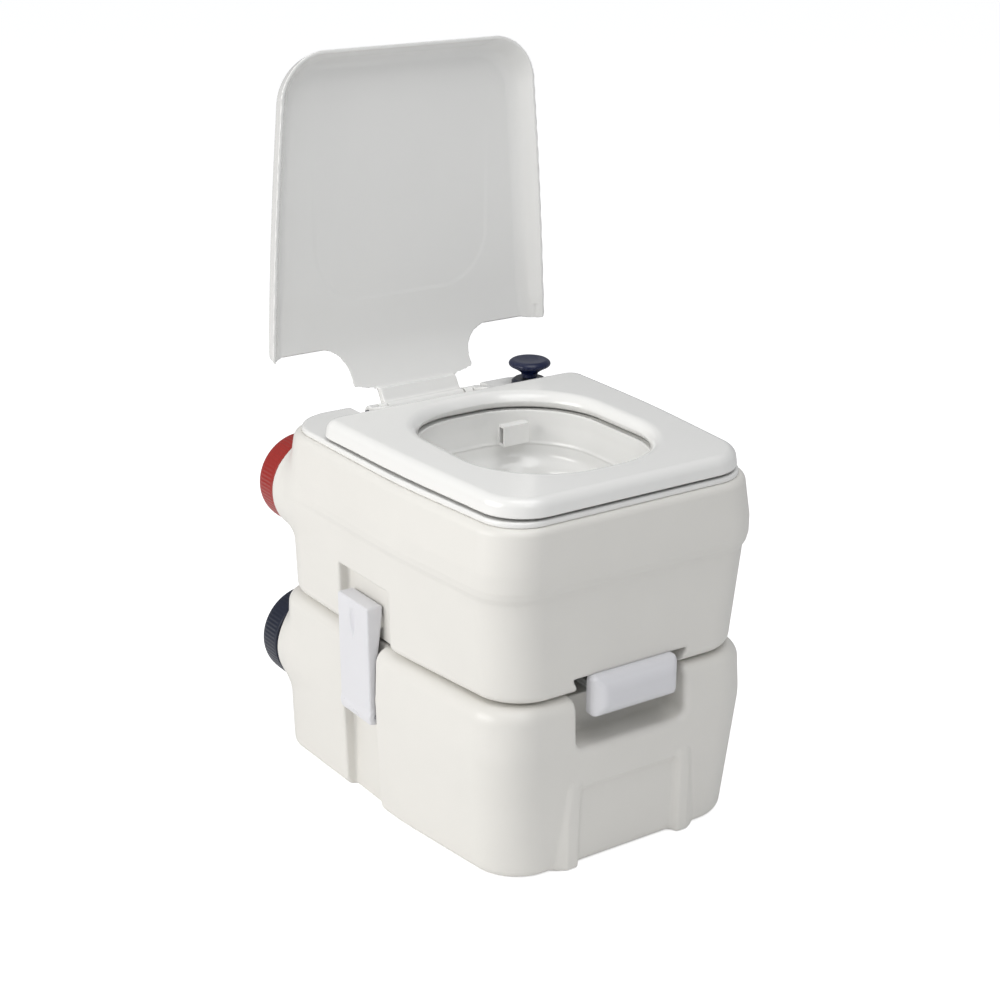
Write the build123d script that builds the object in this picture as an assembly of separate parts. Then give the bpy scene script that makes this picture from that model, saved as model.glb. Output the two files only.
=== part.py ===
"""Portable camp toilet: a flush-water tank with bowl, seat and lid, latched on top of a waste tank.

Millimetres, +Z up, +X to the right of a person facing the front, -Y towards the front.
The origin is the centre of the flat underside of the waste tank.
"""

from build123d import *
from math import hypot
import os

# ---------------------------------------------------------------- overall sizes
SEAT_TOP = 400.0  # sitting height above the floor
HALF_WIDTH = 172.0  # half-width of the waste tank
FRONT_Y = -208.0  # foremost face
REAR_Y = 208.0  # rearmost face of the tanks
FLARE_Y = -30.0  # the sides flare out from the front to here, then run back nearly straight
WASTE_TANK_HEIGHT = 187.0
TANK_GAP = 3.0  # the flush tank stands on pads this high
WALL = 3.0  # blown tank wall
FIT = 0.05  # radial clearance of pins and shafts
CLEAR = 0.5  # clearance between neighbouring pieces

# ---------------------------------------------------------------- heights shared by many pieces
SEAT_THICKNESS = 19.0
SEAT_GAP = 3.0  # shadow gap between deck and seat
DECK_THICKNESS = 6.0
W = HALF_WIDTH
H = WASTE_TANK_HEIGHT
B = H + TANK_GAP  # underside of the flush tank
SEAT_BOTTOM = SEAT_TOP - SEAT_THICKNESS
DECK_TOP = SEAT_BOTTOM - SEAT_GAP
DECK_BOTTOM = DECK_TOP - DECK_THICKNESS
WAIST_Z = DECK_BOTTOM - 68.0  # step round the flush tank

# ---------------------------------------------------------------- seat
SEAT_FRONT_Y = FRONT_Y + 7
SEAT_REAR_Y = REAR_Y - 86
SEAT_FRONT_HALF = W - 26
SEAT_MID_HALF = W - 12
SEAT_REAR_HALF = W - 9
SEAT_REAR_CORNER = 18.0
SEAT_WALL = 3.5
SEAT_LAP = 3.0  # the seat's inner edge stands this far inside the bowl's rim

# ---------------------------------------------------------------- bowl
BOWL_HALF_WIDTH = 104.0
BOWL_FRONT_Y = SEAT_FRONT_Y + 51
BOWL_REAR_Y = SEAT_REAR_Y - 30
BOWL_WALL = 3.0
BOWL_FLOOR_Z = B + 42
BOWL_STEP = 14.0  # sump between the bowl's floor and its outlet
BOWL_FLANGE = 9.0
BOWL_FLANGE_THICKNESS = 2.0

# ---------------------------------------------------------------- slide valve on the waste tank
OUTLET_Y = -20.0
OUTLET_R = 38.0
VALVE_HALF_WIDTH = OUTLET_R + 20
VALVE_FRONT = OUTLET_Y - OUTLET_R - 22
VALVE_REAR = OUTLET_Y + OUTLET_R + 28
VALVE_DEPTH = 19.0  # the valve lies this deep in the waste tank's top
VALVE_SCREW_R = 2.0
VALVE_SCREW_LENGTH = 9.0  # in the tank's boss
VALVE_SCREW_HEAD_R = 4.0
VALVE_SCREW_HEAD = 2.5
SCREW_BOSS_WALL = 3.0
BLADE_THICKNESS = 3.0
BLADE_HALF_WIDTH = OUTLET_R + 6
BLADE_FRONT = OUTLET_Y - OUTLET_R - 8
BLADE_REAR = OUTLET_Y + OUTLET_R + 8
BLADE_RISE = 7.0  # blade's underside above the bed
BLADE_GAP = 0.2
BLADE_SEAL_R = OUTLET_R + 4
BLADE_SEAL_BORE_R = OUTLET_R + 1
BLADE_SEAL_HEIGHT = 2.0
STRIP_HALF_WIDTH = 30.0
STRIP_RIB_HEIGHT = 7.0
CLAMP_RING_R = OUTLET_R + 15
CLAMP_RING_BORE_R = OUTLET_R + 8
CLAMP_RING_HEIGHT = 3.0
LIP_SEAL_BORE_R = OUTLET_R + 2

# ---------------------------------------------------------------- pull handle
HANDLE_HALF_WIDTH = 52.0
HANDLE_TOP = H + 20
HANDLE_BOTTOM = H - 24
HANDLE_FRONT = FRONT_Y - 9
HANDLE_DEPTH = 21.0
HANDLE_SHELL = 3.5
RECESS_HALF_WIDTH = HANDLE_HALF_WIDTH + 15
RECESS_BOTTOM = HANDLE_BOTTOM - 32
RECESS_REAR = FRONT_Y + 46
NOTCH_TOP = HANDLE_TOP + 4

# ---------------------------------------------------------------- side latches
LATCH_FRONT_Y = 6.0
LATCH_WIDTH = 59.0
LATCH_OUT_X = W + 6
LATCH_THICKNESS = 11.0
LATCH_TAPER = 2.0  # the outer face comes in this far at the foot
LATCH_WALL = 2.6
LATCH_CHEEK = 50.0  # the hook's cheeks reach this far above the pivot
LATCH_TOP = B + 41
HOOK_THICKNESS = 9.0
HOOK_REACH = 19.5  # from the outer face to the hook's tip
LATCH_PIVOT_X = W - 4
LATCH_PIVOT_Z = H - 79
LATCH_BARREL_R = 8.5
LATCH_PIN_R = 2.5
LATCH_PIN_GRIP = 8.0  # pin length held in the tank at each end
LATCH_SIDE_GAP = 3.0
CHANNEL_X = W - 15  # floor of the latch channel
POCKET_TOP = LATCH_TOP + 25
POCKET_FRONT_Y = LATCH_FRONT_Y - 25
POCKET_REAR_Y = LATCH_FRONT_Y + LATCH_WIDTH + 11
LEDGE_DROP = 2.6  # the ledge's top lies this far under the hook
LEDGE_OUT_X = LATCH_OUT_X - HOOK_REACH + 4

# ---------------------------------------------------------------- screw caps at the back
CAP_X = 48.0 - W
FILL_CAP_Z = B + 105
FILL_CAP_R = 50.0
FILL_SHOULDER_R = FILL_CAP_R + 2
WASTE_CAP_Z = H - 75
WASTE_CAP_R = 52.0
WASTE_SHOULDER_R = WASTE_CAP_R
SHOULDER_FRONT_Y = REAR_Y - 108
SHOULDER_TAPER = 14.0  # the shoulder fades into the tank's side towards the front
CAP_DEPTH = 31.0
CAP_WALL = 4.0
CAP_CLEARANCE = 0.6
GRIP_RIBS = 36
GRIP_RIB_HEIGHT = 1.5
NECK_WALL = 5.0
NECK_LENGTH = 25.0
GASKET_LAP = 2.0  # the gasket reaches this far inside the neck's bore

# ---------------------------------------------------------------- hinge of seat and lid
HINGE_Y = REAR_Y - 32
HINGE_Z = DECK_TOP - 4
HINGE_BARREL_R = 7.5
HINGE_PIN_R = 3.0
POST_X = 50.0  # inner face of each hinge post
TROUGH_HALF_WIDTH = POST_X + 34
TROUGH_FRONT_Y = HINGE_Y - 16
TROUGH_Z = HINGE_Z - 13
POST_WIDTH = 10.0
POST_FOOT = 4.0
KNUCKLE_GAP = 1.0
SEAT_LUG_WIDTH = 11.0
LID_KNUCKLE_WIDTH = 13.0
POST_SCREW_R = 1.6
POST_SCREW_HEAD_R = 3.0
POST_SCREW_HEAD = 1.6

# ---------------------------------------------------------------- lid
LID_RIM_Z = SEAT_TOP - 6
LID_HEIGHT = 26.0
LID_WALL = 3.0
LID_FRONT_Y = FRONT_Y
LID_REAR_Y = SEAT_REAR_Y - 9
LID_FRONT_HALF = SEAT_FRONT_HALF + 5.5
LID_MID_HALF = SEAT_MID_HALF + 6
LID_REAR_HALF = SEAT_REAR_HALF + 11.5
LID_INSET = 16.0  # the top panel is this much smaller than the rim
LID_CORNER = 44.0
LID_SEAT_GAP = 3.0  # all round the seat when the lid is shut
TONGUE_HALF_WIDTH = POST_X + 12
TONGUE_THICKNESS = 4.0

# ---------------------------------------------------------------- flush pump
PUMP_X = W - 47
PUMP_Y = REAR_Y - 53
KNOB_R = 23.5
KNOB_TOP = SEAT_TOP + 8
KNOB_HEIGHT = 12.0
KNOB_NECK_R = 8.0
KNOB_SWING_GAP = 4.0  # between the knob and the seat as it swings over
PUMP_ROD_R = 4.0
BARREL_R = 14.0
BARREL_WALL = 1.5
BARREL_BOTTOM = B + 22
PUMP_OUTLET_Z = DECK_TOP - 48
PISTON_Z = PUMP_OUTLET_Z - 68
PISTON_HEIGHT = 14.0
PISTON_GAP = 0.6
PISTON_RING_WIDTH = 3.0
COLLAR_R = BARREL_R + 6
COLLAR_RISE = 8.0
STRAINER_R = BARREL_R + 4
STRAINER_HEIGHT = 12.0
STRAINER_SLOTS = 12
NOZZLE_X = 46.0
NOZZLE_Z = DECK_TOP - 20
HOSE_R = 5.0
HOSE_BORE_R = 3.5
NOZZLE_BORE_R = 2.3
HOOD_DEPTH = 11.0  # of the deflector inside the bowl
HOOD_SETBACK = 21.0  # from the bowl's rear edge

# ---------------------------------------------------------------- values worked out from those above
BED_Z = H - VALVE_DEPTH
BLADE_Z = BED_Z + BLADE_RISE
BLADE_TOP = BLADE_Z + BLADE_THICKNESS
STRIP_FRONT = HANDLE_FRONT + HANDLE_DEPTH - 12.0
HANDLE_REAR = HANDLE_FRONT + HANDLE_DEPTH
LATCH_REAR_Y = LATCH_FRONT_Y + LATCH_WIDTH
HOOK_Z = LATCH_TOP - HOOK_THICKNESS
LEDGE_Z = HOOK_Z - LEDGE_DROP
CAP_FRONT_Y = REAR_Y + CAP_CLEARANCE
CAP_REAR_Y = CAP_FRONT_Y + CAP_DEPTH
POST_END_X = POST_X + POST_WIDTH
SEAT_LUG_X = POST_END_X + KNUCKLE_GAP
LID_KNUCKLE_X = POST_X - KNUCKLE_GAP - LID_KNUCKLE_WIDTH
PIN_X0 = LID_KNUCKLE_X - 2.0
PIN_X1 = SEAT_LUG_X + SEAT_LUG_WIDTH + 2.0
BARREL_OUT_R = BARREL_R + BARREL_WALL
HOSE_END_Y = BOWL_REAR_Y + 12.0
SCREW_SPOTS = [
    (side * (VALVE_HALF_WIDTH - 7), y)
    for side in (-1, 1)
    for y in (VALVE_FRONT + 7, VALVE_REAR - 7)
]
PAD_SPOTS = [(side * 100.0, y) for side in (-1, 1) for y in (-120.0, 120.0)]
PAD_R = 12.0
POST_SCREW_SPOTS = [(POST_X + POST_WIDTH / 2, HINGE_Y + step) for step in (-11.5, 18.0)]

# Each level of a tank's outer form: height, half-widths at the front, at FLARE_Y and at the rear,
# and the front and rear faces. Blown tanks are round at top and bottom and taper towards the floor.
WASTE_LEVELS = [
    (0.0, W - 34, W - 13, W - 8, FRONT_Y + 16, REAR_Y - 9),
    (3.0, W - 29, W - 8, W - 3, FRONT_Y + 11, REAR_Y - 4),
    (9.0, W - 26, W - 5, W - 1, FRONT_Y + 8, REAR_Y - 2),
    (H - 54, W - 14, W, W + 1, FRONT_Y + 2, REAR_Y),
    (H - 13, W - 15, W - 1, W, FRONT_Y + 3, REAR_Y - 1),
    (H - 4, W - 20, W - 6, W - 5, FRONT_Y + 8, REAR_Y - 6),
    (H, W - 28, W - 14, W - 13, FRONT_Y + 16, REAR_Y - 14),
]
FLUSH_LEVELS = [
    (B, W - 36, W - 14, W - 12, FRONT_Y + 16, REAR_Y - 14),
    (B + 4, W - 29, W - 7, W - 5, FRONT_Y + 9, REAR_Y - 6),
    (B + 12, W - 25, W - 4, W - 2, FRONT_Y + 6, REAR_Y - 2),
    (WAIST_Z - 9, W - 16, W - 1, W + 1, FRONT_Y + 3, REAR_Y),
    (WAIST_Z, W - 11, W + 2, W + 2, FRONT_Y, REAR_Y),
    (WAIST_Z + 22, W - 11, W + 2, W + 2, FRONT_Y, REAR_Y),
    (DECK_BOTTOM - 8, W - 17, W - 1, W, FRONT_Y + 2, REAR_Y - 1),
    (DECK_BOTTOM, W - 21, W - 5, W - 4, FRONT_Y + 5, REAR_Y - 4),
]
DECK_LEVELS = [
    (DECK_BOTTOM, W - 25, W - 9, W - 8, FRONT_Y + 8, REAR_Y - 7),
    (DECK_TOP, W - 25, W - 9, W - 8, FRONT_Y + 8, REAR_Y - 7),
]
SEAT_LEVELS = [
    (SEAT_BOTTOM, SEAT_FRONT_HALF, SEAT_MID_HALF, SEAT_REAR_HALF, SEAT_FRONT_Y, SEAT_REAR_Y),
    (SEAT_TOP - 10, SEAT_FRONT_HALF - 1, SEAT_MID_HALF - 2, SEAT_REAR_HALF - 2,
     SEAT_FRONT_Y + 1, SEAT_REAR_Y - 1),
    (SEAT_TOP - 4, SEAT_FRONT_HALF - 3, SEAT_MID_HALF - 5, SEAT_REAR_HALF - 5,
     SEAT_FRONT_Y + 3, SEAT_REAR_Y - 3),
    (SEAT_TOP, SEAT_FRONT_HALF - 8, SEAT_MID_HALF - 11, SEAT_REAR_HALF - 11,
     SEAT_FRONT_Y + 8, SEAT_REAR_Y - 7),
]


# ---------------------------------------------------------------- helpers
def box(x0, x1, y0, y1, z0, z1):
    """Box between two corners."""
    return Pos((x0 + x1) / 2, (y0 + y1) / 2, (z0 + z1) / 2) * Box(x1 - x0, y1 - y0, z1 - z0)


def disc(x, y, z0, z1, radius):
    """Upright cylinder."""
    return Pos(x, y, (z0 + z1) / 2) * Cylinder(radius, z1 - z0)


def rod_y(x, z, y0, y1, radius):
    """Cylinder along Y."""
    return Pos(x, (y0 + y1) / 2, z) * Rot(90, 0, 0) * Cylinder(radius, y1 - y0)


def cone_y(x, z, y0, y1, r0, r1):
    """Cone along Y from radius r0 at y0 to radius r1 at y1."""
    return Pos(x, (y0 + y1) / 2, z) * Rot(-90, 0, 0) * Cone(r0, r1, y1 - y0)


def rod_x(y, z, x0, x1, radius):
    """Cylinder along X."""
    return Pos((x0 + x1) / 2, y, z) * Rot(0, 90, 0) * Cylinder(radius, x1 - x0)


def prism_y(points, y0, y1):
    """Prism along Y with its profile given as (x, z) points."""
    face = make_face(Polyline(*[(x, y0, z) for x, z in points], close=True))
    return extrude(face, amount=y1 - y0, dir=(0, 1, 0))


def prism_x(points, x0, x1):
    """Prism along X with its profile given as (y, z) points."""
    face = make_face(Polyline(*[(x0, y, z) for y, z in points], close=True))
    return extrude(face, amount=x1 - x0, dir=(1, 0, 0))


def both_sides(shape):
    """A shape and its mirror image."""
    return shape + mirror(shape, about=Plane.YZ)


def outline(z, front, mid, rear, y0, y1, inset=0.0, r_front=44.0, r_rear=34.0):
    """Plan outline at height z: narrow at the front, flaring to FLARE_Y, then nearly straight."""
    front, mid, rear = front - inset, mid - inset, rear - inset
    y0, y1 = y0 + inset, y1 - inset
    points = [(-front, y0), (front, y0), (mid, FLARE_Y), (rear, y1), (-rear, y1), (-mid, FLARE_Y)]
    radii = [r_front - inset, r_front - inset, 120.0, r_rear - inset, r_rear - inset, 120.0]
    return Pos(0, 0, z) * make_face(FilletPolyline(*points, radius=radii, close=True))


def form(levels, inset=0.0, **corners):
    """Solid through a list of levels, drawn in by inset."""
    return loft([outline(*level, inset=inset, **corners) for level in levels], ruled=True)


def raised(levels, rise):
    """The same levels with the top one lifted."""
    top = levels[-1]
    return levels[:-1] + [(top[0] + rise, *top[1:])]


def level_at(levels, z):
    """The level at height z, between the two given levels round it."""
    below = [level for level in levels if level[0] <= z][-1]
    above = [level for level in levels if level[0] >= z][0]
    share = 0.0 if above[0] == below[0] else (z - below[0]) / (above[0] - below[0])
    return tuple(a + (b - a) * share for a, b in zip(below, above))


def hollow(levels, wall):
    """Space inside a blown tank: its form drawn in by the wall, with a floor and a roof."""
    low = levels[0][0] + wall
    high = levels[-1][0] - wall
    between = [level for level in levels if low < level[0] < high]
    return form([level_at(levels, low)] + between + [level_at(levels, high)], wall)


def oval(half_width, y0, y1, z, roundness=0.86):
    """Plan section of the bowl: a rectangle with very large corner radii."""
    radius = roundness * min(half_width, (y1 - y0) / 2)
    return Pos(0, (y0 + y1) / 2, z) * RectangleRounded(2 * half_width, y1 - y0, radius)


def oval_prism(grow, z0, z1):
    """Upright prism on the bowl's rim outline, grown outwards."""
    face = oval(BOWL_HALF_WIDTH + grow, BOWL_FRONT_Y - grow, BOWL_REAR_Y + grow, z0)
    return extrude(face, amount=z1 - z0, dir=(0, 0, 1))


def bowl_form(grow=0.0):
    """The bowl's space, grown outwards: an oval funnel with a sump and a round outlet."""
    mid_z = (DECK_TOP + BOWL_FLOOR_Z) / 2
    sump_r = OUTLET_R + BOWL_STEP + grow
    out_r = OUTLET_R - BOWL_WALL + grow
    out_z = BOWL_FLOOR_Z - BOWL_STEP
    sections = [
        oval(BOWL_HALF_WIDTH + grow, BOWL_FRONT_Y - grow, BOWL_REAR_Y + grow, DECK_TOP),
        oval(BOWL_HALF_WIDTH - 15 + grow, BOWL_FRONT_Y + 22 - grow, BOWL_REAR_Y - 16 + grow, mid_z),
        oval(sump_r, OUTLET_Y - sump_r, OUTLET_Y + sump_r, BOWL_FLOOR_Z, 0.98),
        oval(out_r, OUTLET_Y - out_r, OUTLET_Y + out_r, out_z, 0.98),
    ]
    return loft(sections, ruled=True) + disc(0, OUTLET_Y, B - 5, out_z + 1, out_r)


def put(name, shape):
    """Write one node."""
    export_step(shape, f"parts/{name}.step")


# ---------------------------------------------------------------- recesses of the two tanks
def latch_channel(grow=0.0):
    """Channels down both sides of the waste tank that hold the latches."""
    y0 = LATCH_FRONT_Y - LATCH_SIDE_GAP - grow
    y1 = LATCH_REAR_Y + LATCH_SIDE_GAP + grow
    return both_sides(box(-2 * W, -CHANNEL_X + grow, y0, y1, -1, H + 1))


def latch_pocket(grow=0.0):
    """Pockets low in both sides of the flush tank that the latches hook into."""
    y0 = POCKET_FRONT_Y - grow
    y1 = POCKET_REAR_Y + grow
    return both_sides(box(-2 * W, -CHANNEL_X + grow, y0, y1, B - 1, POCKET_TOP + grow))


def handle_recess(grow=0.0):
    """Recess in the waste tank's front for the handle and the fingers."""
    half = RECESS_HALF_WIDTH + grow
    return box(-half, half, 2 * FRONT_Y, RECESS_REAR + grow, RECESS_BOTTOM - grow, H + 1)


def handle_notch(grow=0.0):
    """Notch in the flush tank's front edge above the handle."""
    half = RECESS_HALF_WIDTH + grow
    return box(-half, half, 2 * FRONT_Y, RECESS_REAR + grow, B - 1, NOTCH_TOP + grow)


def valve_bed(grow=0.0):
    """Step in the waste tank's top that the valve and its blade lie in."""
    half = VALVE_HALF_WIDTH + CLEAR + grow
    return box(-half, half, RECESS_REAR - 5, VALVE_REAR + CLEAR + grow, BED_Z - grow, H + 1)


def hinge_trough(grow=0.0):
    """Low place in the top behind the seat, where the hinge sits."""
    half = TROUGH_HALF_WIDTH + grow
    return box(-half, half, TROUGH_FRONT_Y - grow, 2 * REAR_Y, TROUGH_Z - grow, DECK_TOP + 1)


# ---------------------------------------------------------------- screw-cap necks
def neck_radius(cap_r):
    """Outer radius of the neck that a cap fits over."""
    return cap_r - CAP_WALL - CAP_CLEARANCE


def neck_outside(z, cap_r, shoulder_r):
    """Round shoulder out of the tank's corner, and the neck that carries the cap."""
    shoulder = cone_y(CAP_X, z, SHOULDER_FRONT_Y, REAR_Y - 1, shoulder_r - SHOULDER_TAPER, shoulder_r)
    return shoulder + rod_y(CAP_X, z, REAR_Y - 2, REAR_Y + NECK_LENGTH, neck_radius(cap_r))


def neck_inside(z, cap_r, shoulder_r):
    """Space inside the shoulder, and the neck's bore."""
    small_r = shoulder_r - SHOULDER_TAPER - WALL
    shoulder = cone_y(CAP_X, z, SHOULDER_FRONT_Y, REAR_Y - 1 - WALL, small_r, shoulder_r - WALL)
    return shoulder + rod_y(CAP_X, z, REAR_Y - 30, REAR_Y + NECK_LENGTH + 1, neck_radius(cap_r) - NECK_WALL)


def make_cap(z, cap_r):
    """Screw cap: a cup with a ribbed skirt."""
    body = rod_y(CAP_X, z, CAP_FRONT_Y, CAP_REAR_Y, cap_r - GRIP_RIB_HEIGHT)
    ribs = []
    for i in range(GRIP_RIBS):
        rib = box(cap_r - 3, cap_r, CAP_FRONT_Y + 2, CAP_REAR_Y - 3, -GRIP_RIB_HEIGHT, GRIP_RIB_HEIGHT)
        ribs.append(Pos(CAP_X, 0, z) * Rot(0, i * 360 / GRIP_RIBS, 0) * rib)
    body = body + ribs
    return body - rod_y(CAP_X, z, CAP_FRONT_Y - 1, CAP_REAR_Y - CAP_WALL, cap_r - CAP_WALL)


def make_gasket(z, cap_r):
    """Flat ring between the neck's mouth and the cap's closed end."""
    outer = neck_radius(cap_r)
    inner = outer - NECK_WALL - GASKET_LAP
    y0 = REAR_Y + NECK_LENGTH
    y1 = CAP_REAR_Y - CAP_WALL
    return rod_y(CAP_X, z, y0, y1, outer) - rod_y(CAP_X, z, y0 - 1, y1 + 1, inner)


# ---------------------------------------------------------------- waste tank group
def latch_pin(radius, overrun=0.0):
    """Left latch's pivot pin, or the hole for it."""
    y0 = LATCH_FRONT_Y - LATCH_SIDE_GAP - LATCH_PIN_GRIP - overrun
    y1 = LATCH_REAR_Y + LATCH_SIDE_GAP + LATCH_PIN_GRIP + overrun
    return rod_y(-LATCH_PIVOT_X, LATCH_PIVOT_Z, y0, y1, radius)


def make_waste_tank():
    """Blown tank with its recesses, neck, valve opening and pads."""
    outside = form(WASTE_LEVELS) + neck_outside(WASTE_CAP_Z, WASTE_CAP_R, WASTE_SHOULDER_R)
    outside -= latch_channel() + handle_recess() + valve_bed()
    inside = hollow(WASTE_LEVELS, WALL)
    inside -= latch_channel(WALL) + handle_recess(WALL) + valve_bed(WALL)
    inside -= both_sides(latch_pin(LATCH_PIN_R + SCREW_BOSS_WALL, WALL))
    inside += neck_inside(WASTE_CAP_Z, WASTE_CAP_R, WASTE_SHOULDER_R)
    for x, y in SCREW_SPOTS:
        low = BED_Z - VALVE_SCREW_LENGTH
        inside -= disc(x, y, low - WALL, BED_Z, VALVE_SCREW_R + SCREW_BOSS_WALL)
    tank = outside - inside - both_sides(latch_pin(LATCH_PIN_R))
    tank -= disc(0, OUTLET_Y, BED_Z - 2 * WALL, BED_Z + 1, OUTLET_R)
    for x, y in SCREW_SPOTS:
        tank -= disc(x, y, BED_Z - VALVE_SCREW_LENGTH, BED_Z + 1, VALVE_SCREW_R + FIT)
    for x, y in PAD_SPOTS:
        tank += disc(x, y, H - 1, B, PAD_R)
    return tank


def make_valve_body():
    """Slide-valve housing: a plate with the outlet hole, a slot for the blade and seats for seals."""
    body = box(-VALVE_HALF_WIDTH, VALVE_HALF_WIDTH, VALVE_FRONT, VALVE_REAR, BED_Z, H)
    body -= disc(0, OUTLET_Y, BED_Z - 1, H + 1, OUTLET_R)
    half = BLADE_HALF_WIDTH + CLEAR
    slot_top = BLADE_TOP + BLADE_GAP
    body -= box(-half, half, VALVE_FRONT - 1, BLADE_REAR + CLEAR, BLADE_Z - BLADE_GAP, slot_top)
    rib_top = BLADE_Z + STRIP_RIB_HEIGHT + CLEAR
    body -= disc(0, OUTLET_Y, slot_top - 1, slot_top + BLADE_SEAL_HEIGHT, BLADE_SEAL_R)
    body -= disc(0, OUTLET_Y, H - CLAMP_RING_HEIGHT, H + 1, CLAMP_RING_R)
    slot = STRIP_HALF_WIDTH + CLEAR
    body -= box(-slot, slot, VALVE_FRONT - 1, VALVE_FRONT + 4, BLADE_Z, rib_top)
    for x, y in SCREW_SPOTS:
        body -= disc(x, y, BED_Z - 1, H + 1, VALVE_SCREW_R + FIT)
        body -= disc(x, y, H - VALVE_SCREW_HEAD - 1, H + 1, VALVE_SCREW_HEAD_R + CLEAR)
    return body


def make_blade_seal():
    """Rubber ring over the blade, in its seat in the valve body."""
    z0 = BLADE_TOP + BLADE_GAP / 2
    z1 = BLADE_TOP + BLADE_GAP + BLADE_SEAL_HEIGHT
    bore = disc(0, OUTLET_Y, z0 - 1, z1 + 1, BLADE_SEAL_BORE_R)
    return disc(0, OUTLET_Y, z0, z1, BLADE_SEAL_R - FIT) - bore


def make_lip_seal():
    """Rubber ring that the bowl's outlet presses on."""
    z0 = H - CLAMP_RING_HEIGHT
    bore = disc(0, OUTLET_Y, z0 - 1, B + 1, LIP_SEAL_BORE_R)
    return disc(0, OUTLET_Y, z0, B, CLAMP_RING_BORE_R - FIT) - bore


def make_clamp_ring():
    """Ring that holds the lip seal down in the valve body."""
    z0 = H - CLAMP_RING_HEIGHT
    return disc(0, OUTLET_Y, z0, H, CLAMP_RING_R - FIT) - disc(0, OUTLET_Y, z0 - 1, H + 1, CLAMP_RING_BORE_R)


def make_valve_screws():
    """Pan-head screws that hold the valve body to the tank."""
    seat_z = H - VALVE_SCREW_HEAD - 1
    screws = []
    for x, y in SCREW_SPOTS:
        shaft = disc(x, y, BED_Z - VALVE_SCREW_LENGTH, seat_z, VALVE_SCREW_R)
        screws.append(shaft + disc(x, y, seat_z, seat_z + VALVE_SCREW_HEAD, VALVE_SCREW_HEAD_R))
    return Compound(children=[screw.solid() for screw in screws])


# ---------------------------------------------------------------- blade and pull handle
def make_valve_blade():
    """Flat sliding plate with a narrower pull strip that reaches the front handle."""
    plate = box(-BLADE_HALF_WIDTH, BLADE_HALF_WIDTH, BLADE_FRONT, BLADE_REAR, BLADE_Z, BLADE_TOP)
    blade = plate + box(-STRIP_HALF_WIDTH, STRIP_HALF_WIDTH, STRIP_FRONT, BLADE_FRONT + 1, BLADE_Z, BLADE_TOP)
    rib_z = BLADE_Z + STRIP_RIB_HEIGHT
    for side in (-1, 1):
        x = side * (STRIP_HALF_WIDTH - 2)
        blade += box(x - 1.5, x + 1.5, STRIP_FRONT, VALVE_FRONT - CLEAR, BLADE_Z, rib_z)
    return blade


def make_valve_handle():
    """Rounded pull bar, hollow from behind, with a socket for the strip."""
    bar = box(-HANDLE_HALF_WIDTH, HANDLE_HALF_WIDTH, HANDLE_FRONT, HANDLE_REAR, HANDLE_BOTTOM, HANDLE_TOP)
    bar = fillet(bar.edges().filter_by(Axis.Y), 7)
    bar = fillet(bar.faces().sort_by(Axis.Y)[0].edges(), 4.5)
    t = HANDLE_SHELL
    inner = box(-HANDLE_HALF_WIDTH + t, HANDLE_HALF_WIDTH - t, HANDLE_FRONT + t, HANDLE_REAR + 1,
                HANDLE_BOTTOM + t, HANDLE_TOP - t)
    half = STRIP_HALF_WIDTH + t
    rib_z = BLADE_Z + STRIP_RIB_HEIGHT
    block = box(-half, half, HANDLE_FRONT + t - 1, HANDLE_REAR, BLADE_Z - t, rib_z + t)
    bar = bar - inner + block
    return bar - box(-STRIP_HALF_WIDTH, STRIP_HALF_WIDTH, STRIP_FRONT, HANDLE_REAR + 1, BLADE_Z, rib_z)


# ---------------------------------------------------------------- latches
def make_latch():
    """Left latch: a hollow wedge that pivots at its foot, with a hook along its top."""
    out = -LATCH_OUT_X
    foot = -LATCH_OUT_X + LATCH_TAPER
    inner = -LATCH_OUT_X + LATCH_THICKNESS
    tip = -LATCH_OUT_X + HOOK_REACH
    points = [(out, HOOK_Z), (out, LATCH_TOP), (tip, LATCH_TOP), (tip, HOOK_Z), (inner, HOOK_Z - 1),
              (inner, LATCH_PIVOT_Z), (foot, LATCH_PIVOT_Z)]
    body = prism_y(points, LATCH_FRONT_Y, LATCH_REAR_Y)
    for y0 in (LATCH_FRONT_Y, LATCH_REAR_Y - LATCH_WALL):
        cheek_top = LATCH_PIVOT_Z + LATCH_CHEEK
        cheek = [(inner - 1, HOOK_Z), (tip, HOOK_Z), (inner, cheek_top), (inner - 1, cheek_top)]
        body += prism_y(cheek, y0, y0 + LATCH_WALL)
    body += rod_y(-LATCH_PIVOT_X, LATCH_PIVOT_Z, LATCH_FRONT_Y, LATCH_REAR_Y, LATCH_BARREL_R)
    low = LATCH_PIVOT_Z + LATCH_BARREL_R + 3
    space = [(out + LATCH_WALL, HOOK_Z), (inner + 20, HOOK_Z), (inner + 20, low), (foot + LATCH_WALL, low)]
    body -= prism_y(space, LATCH_FRONT_Y + LATCH_WALL, LATCH_REAR_Y - LATCH_WALL)
    mid_y = (LATCH_FRONT_Y + LATCH_REAR_Y) / 2
    finger_grip = box(-2 * W, out + 1.3, mid_y - 12, mid_y + 12, LATCH_TOP - 36, LATCH_TOP - 10)
    return body - finger_grip - latch_pin(LATCH_PIN_R + FIT, 5)


# ---------------------------------------------------------------- flush tank group
def make_ledge():
    """Catch in the left latch pocket, sloped underneath."""
    y0 = LATCH_FRONT_Y + LATCH_WALL + 1.0
    y1 = LATCH_REAR_Y - LATCH_WALL - 1.0
    root = -CHANNEL_X + 1
    points = [(root, LEDGE_Z), (-LEDGE_OUT_X, LEDGE_Z), (-LEDGE_OUT_X, LEDGE_Z - 4), (root, LEDGE_Z - 14)]
    return prism_y(points, y0, y1)


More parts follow.
